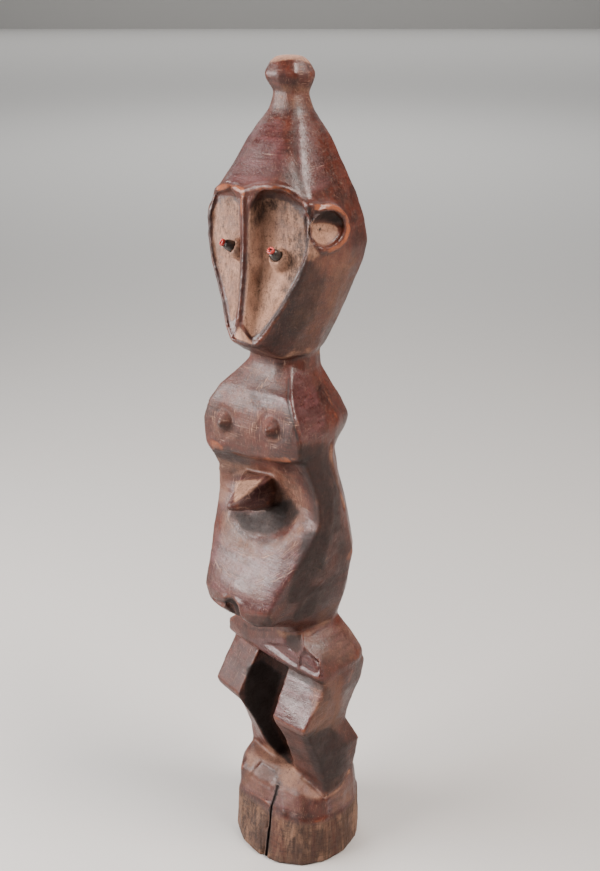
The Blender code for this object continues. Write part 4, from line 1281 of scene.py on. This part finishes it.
def makeEye(side, studFinish, ringFinish):
    stud = meshPoints(side + "_eye_stud")
    ring = meshPoints(side + "_eye_bead")
    centre = Vector(ring.mean(0))
    axis = (centre - Vector(stud.mean(0))).normalized()
    turn = axis.to_track_quat("Z", "Y").to_matrix().to_4x4()
    frameMatrix = Matrix.Translation(centre) @ turn
    local = np.array(frameMatrix.inverted())
    studLocal = stud @ local[:3, :3].T + local[:3, 3]
    ringLocal = ring @ local[:3, :3].T + local[:3, 3]
    reach = np.hypot(studLocal[:, 0], studLocal[:, 1])
    low, high = studLocal[:, 2].min(), studLocal[:, 2].max()
    shoulder = studLocal[reach > 0.5 * reach.max()][:, 2].max()
    radius, tip = reach.max(), reach[studLocal[:, 2] > high - 0.1 * mm].max()
    body = shoulder - low
    profile = [(radius * 0.9, low), (radius, low + body * 0.05), (radius, low + body * 0.3)]
    for share in np.linspace(0, 1, eyes["steps"]):
        wide = 0.98 - eyes["taper"] * share ** eyes["taperCurve"]
        profile.append((radius * wide, low + body * (0.4 + 0.6 * share)))
    neck = shoulder + 0.02 * mm
    profile += [(radius * 0.5, neck), (tip, neck), (tip, high - eyes["bevel"]), (tip * 0.6, high)]
    studPiece = linked(turnedMesh(side + "Stud", profile, frameMatrix, False), side + "EyeStud")
    ringReach = np.hypot(ringLocal[:, 0], ringLocal[:, 1])
    inner, outer = ringReach.min(), ringReach.max()
    half = (ringLocal[:, 2].max() - ringLocal[:, 2].min()) / 2
    middle, wire = (inner + outer) / 2, (outer - inner) / 2
    angles = np.linspace(0, 2 * pi, eyes["wireSegments"], endpoint=False)
    loop = [(middle + wire * cos(angle), half * sin(angle)) for angle in angles]
    ringPiece = linked(turnedMesh(side + "Ring", loop, frameMatrix, True), side + "EyeRing")
    for piece, node, slot, finish in ((studPiece, "_eye_stud", "black_stud", studFinish),
                                      (ringPiece, "_eye_bead", "red_bead", ringFinish)):
        piece.data.materials.append(finish)
        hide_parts(side + node)
        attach(piece, "root")


# Floor and light

studio = {
    "floor": (0.43, 0.42, 0.405, 1.0),
    "floorRoughness": 0.7,
    "floorReach": 60.0,             # metres each way
    "backdrop": (17.0, 40.0, 3.0),  # distance behind the figure, half width and height, in metres
    "air": 0.03,                    # strength of the light from all round
    "airColour": (1.0, 0.97, 0.94, 1.0),
    "aim": (0.0, 0.0, 0.2),         # where the lamps point
    # name, turn from the camera's side in degrees, height, distance, width, tallness, watts, colour
    "lamps": [
        ("key", -77, 0.52, 0.68, 0.58, 0.46, 20.5, (1.0, 0.95, 0.93)),
        ("right", 62, 1.02, 0.60, 0.42, 0.42, 22.0, (1.0, 0.90, 0.84)),
        ("low", 86, 0.30, 0.90, 0.30, 0.40, 1.5, (1.0, 0.82, 0.70)),
        ("back", -160, 0.90, 0.80, 0.50, 0.50, 2.5, (1.0, 1.0, 1.0)),
    ],
    # distance behind the figure, height, size in metres, watts
    "washes": [(2.8, 1.6, 2.5, 48.0), (12.0, 4.0, 14.0, 950.0)],
}


def makeStudio(look):
    floorMesh = bpy.data.meshes.new("floor")
    reach = look["floorReach"]
    angle = radians(photoView["turn"])
    corners = [(-reach, -reach, 0), (reach, -reach, 0), (reach, reach, 0), (-reach, reach, 0)]
    behind, half, tall = look["backdrop"]
    for side, height in ((-half, 0), (half, 0), (half, tall), (-half, tall)):
        x, y = side * cos(angle) - behind * sin(angle), side * sin(angle) + behind * cos(angle)
        corners.append((x, y, height))
    floorMesh.from_pydata(corners, [], [(0, 1, 2, 3), (4, 5, 6, 7)])
    floor = linked(floorMesh, "floor")
    finish = bpy.data.materials.new("paleFloor")
    finish.use_nodes = True
    shader = finish.node_tree.nodes["Principled BSDF"]
    shader.inputs["Base Color"].default_value = look["floor"]
    shader.inputs["Roughness"].default_value = look["floorRoughness"]
    floorMesh.materials.append(finish)
    world = bpy.data.worlds.new("softLight")
    world.use_nodes = True
    background = world.node_tree.nodes["Background"]
    background.inputs["Color"].default_value = look["airColour"]
    background.inputs["Strength"].default_value = look["air"]
    bpy.context.scene.world = world
    target = Vector(look["aim"])
    for name, turn, height, distance, width, tallness, watts, colour in look["lamps"]:
        data = bpy.data.lights.new(name, "AREA")
        data.shape, data.size, data.size_y, data.energy = "RECTANGLE", width, tallness, watts
        data.color = colour
        lamp = bpy.data.objects.new(name, data)
        bpy.context.scene.collection.objects.link(lamp)
        bearing = radians(photoView["turn"] + turn)
        lamp.location = (sin(bearing) * distance, -cos(bearing) * distance, height)
        lamp.rotation_euler = (lamp.location - target).to_track_quat("Z", "Y").to_euler()
    for behind, height, size, watts in look["washes"]:
        wash = bpy.data.lights.new("wash", "AREA")
        wash.size, wash.energy = size, watts
        lamp = bpy.data.objects.new("wash", wash)
        bpy.context.scene.collection.objects.link(lamp)
        lamp.location = (-sin(angle) * behind, cos(angle) * behind, height)


makeStudio(studio)
scratches, dusting, rubbing = scratchGroup(), dustGroup(), wearGroup()
woodFinish = woodMaterial(scratches, dusting, rubbing)
makeFigure(woodFinish)
studFinish = beadMaterial("blackStud", "stud", "studWorn", "studRoughness", dusting, rubbing)
ringFinish = beadMaterial("redRing", "ring", "ringDeep", "ringRoughness", dusting, rubbing)
for side in ("left", "right"):
    makeEye(side, studFinish, ringFinish)
print("eyes set")
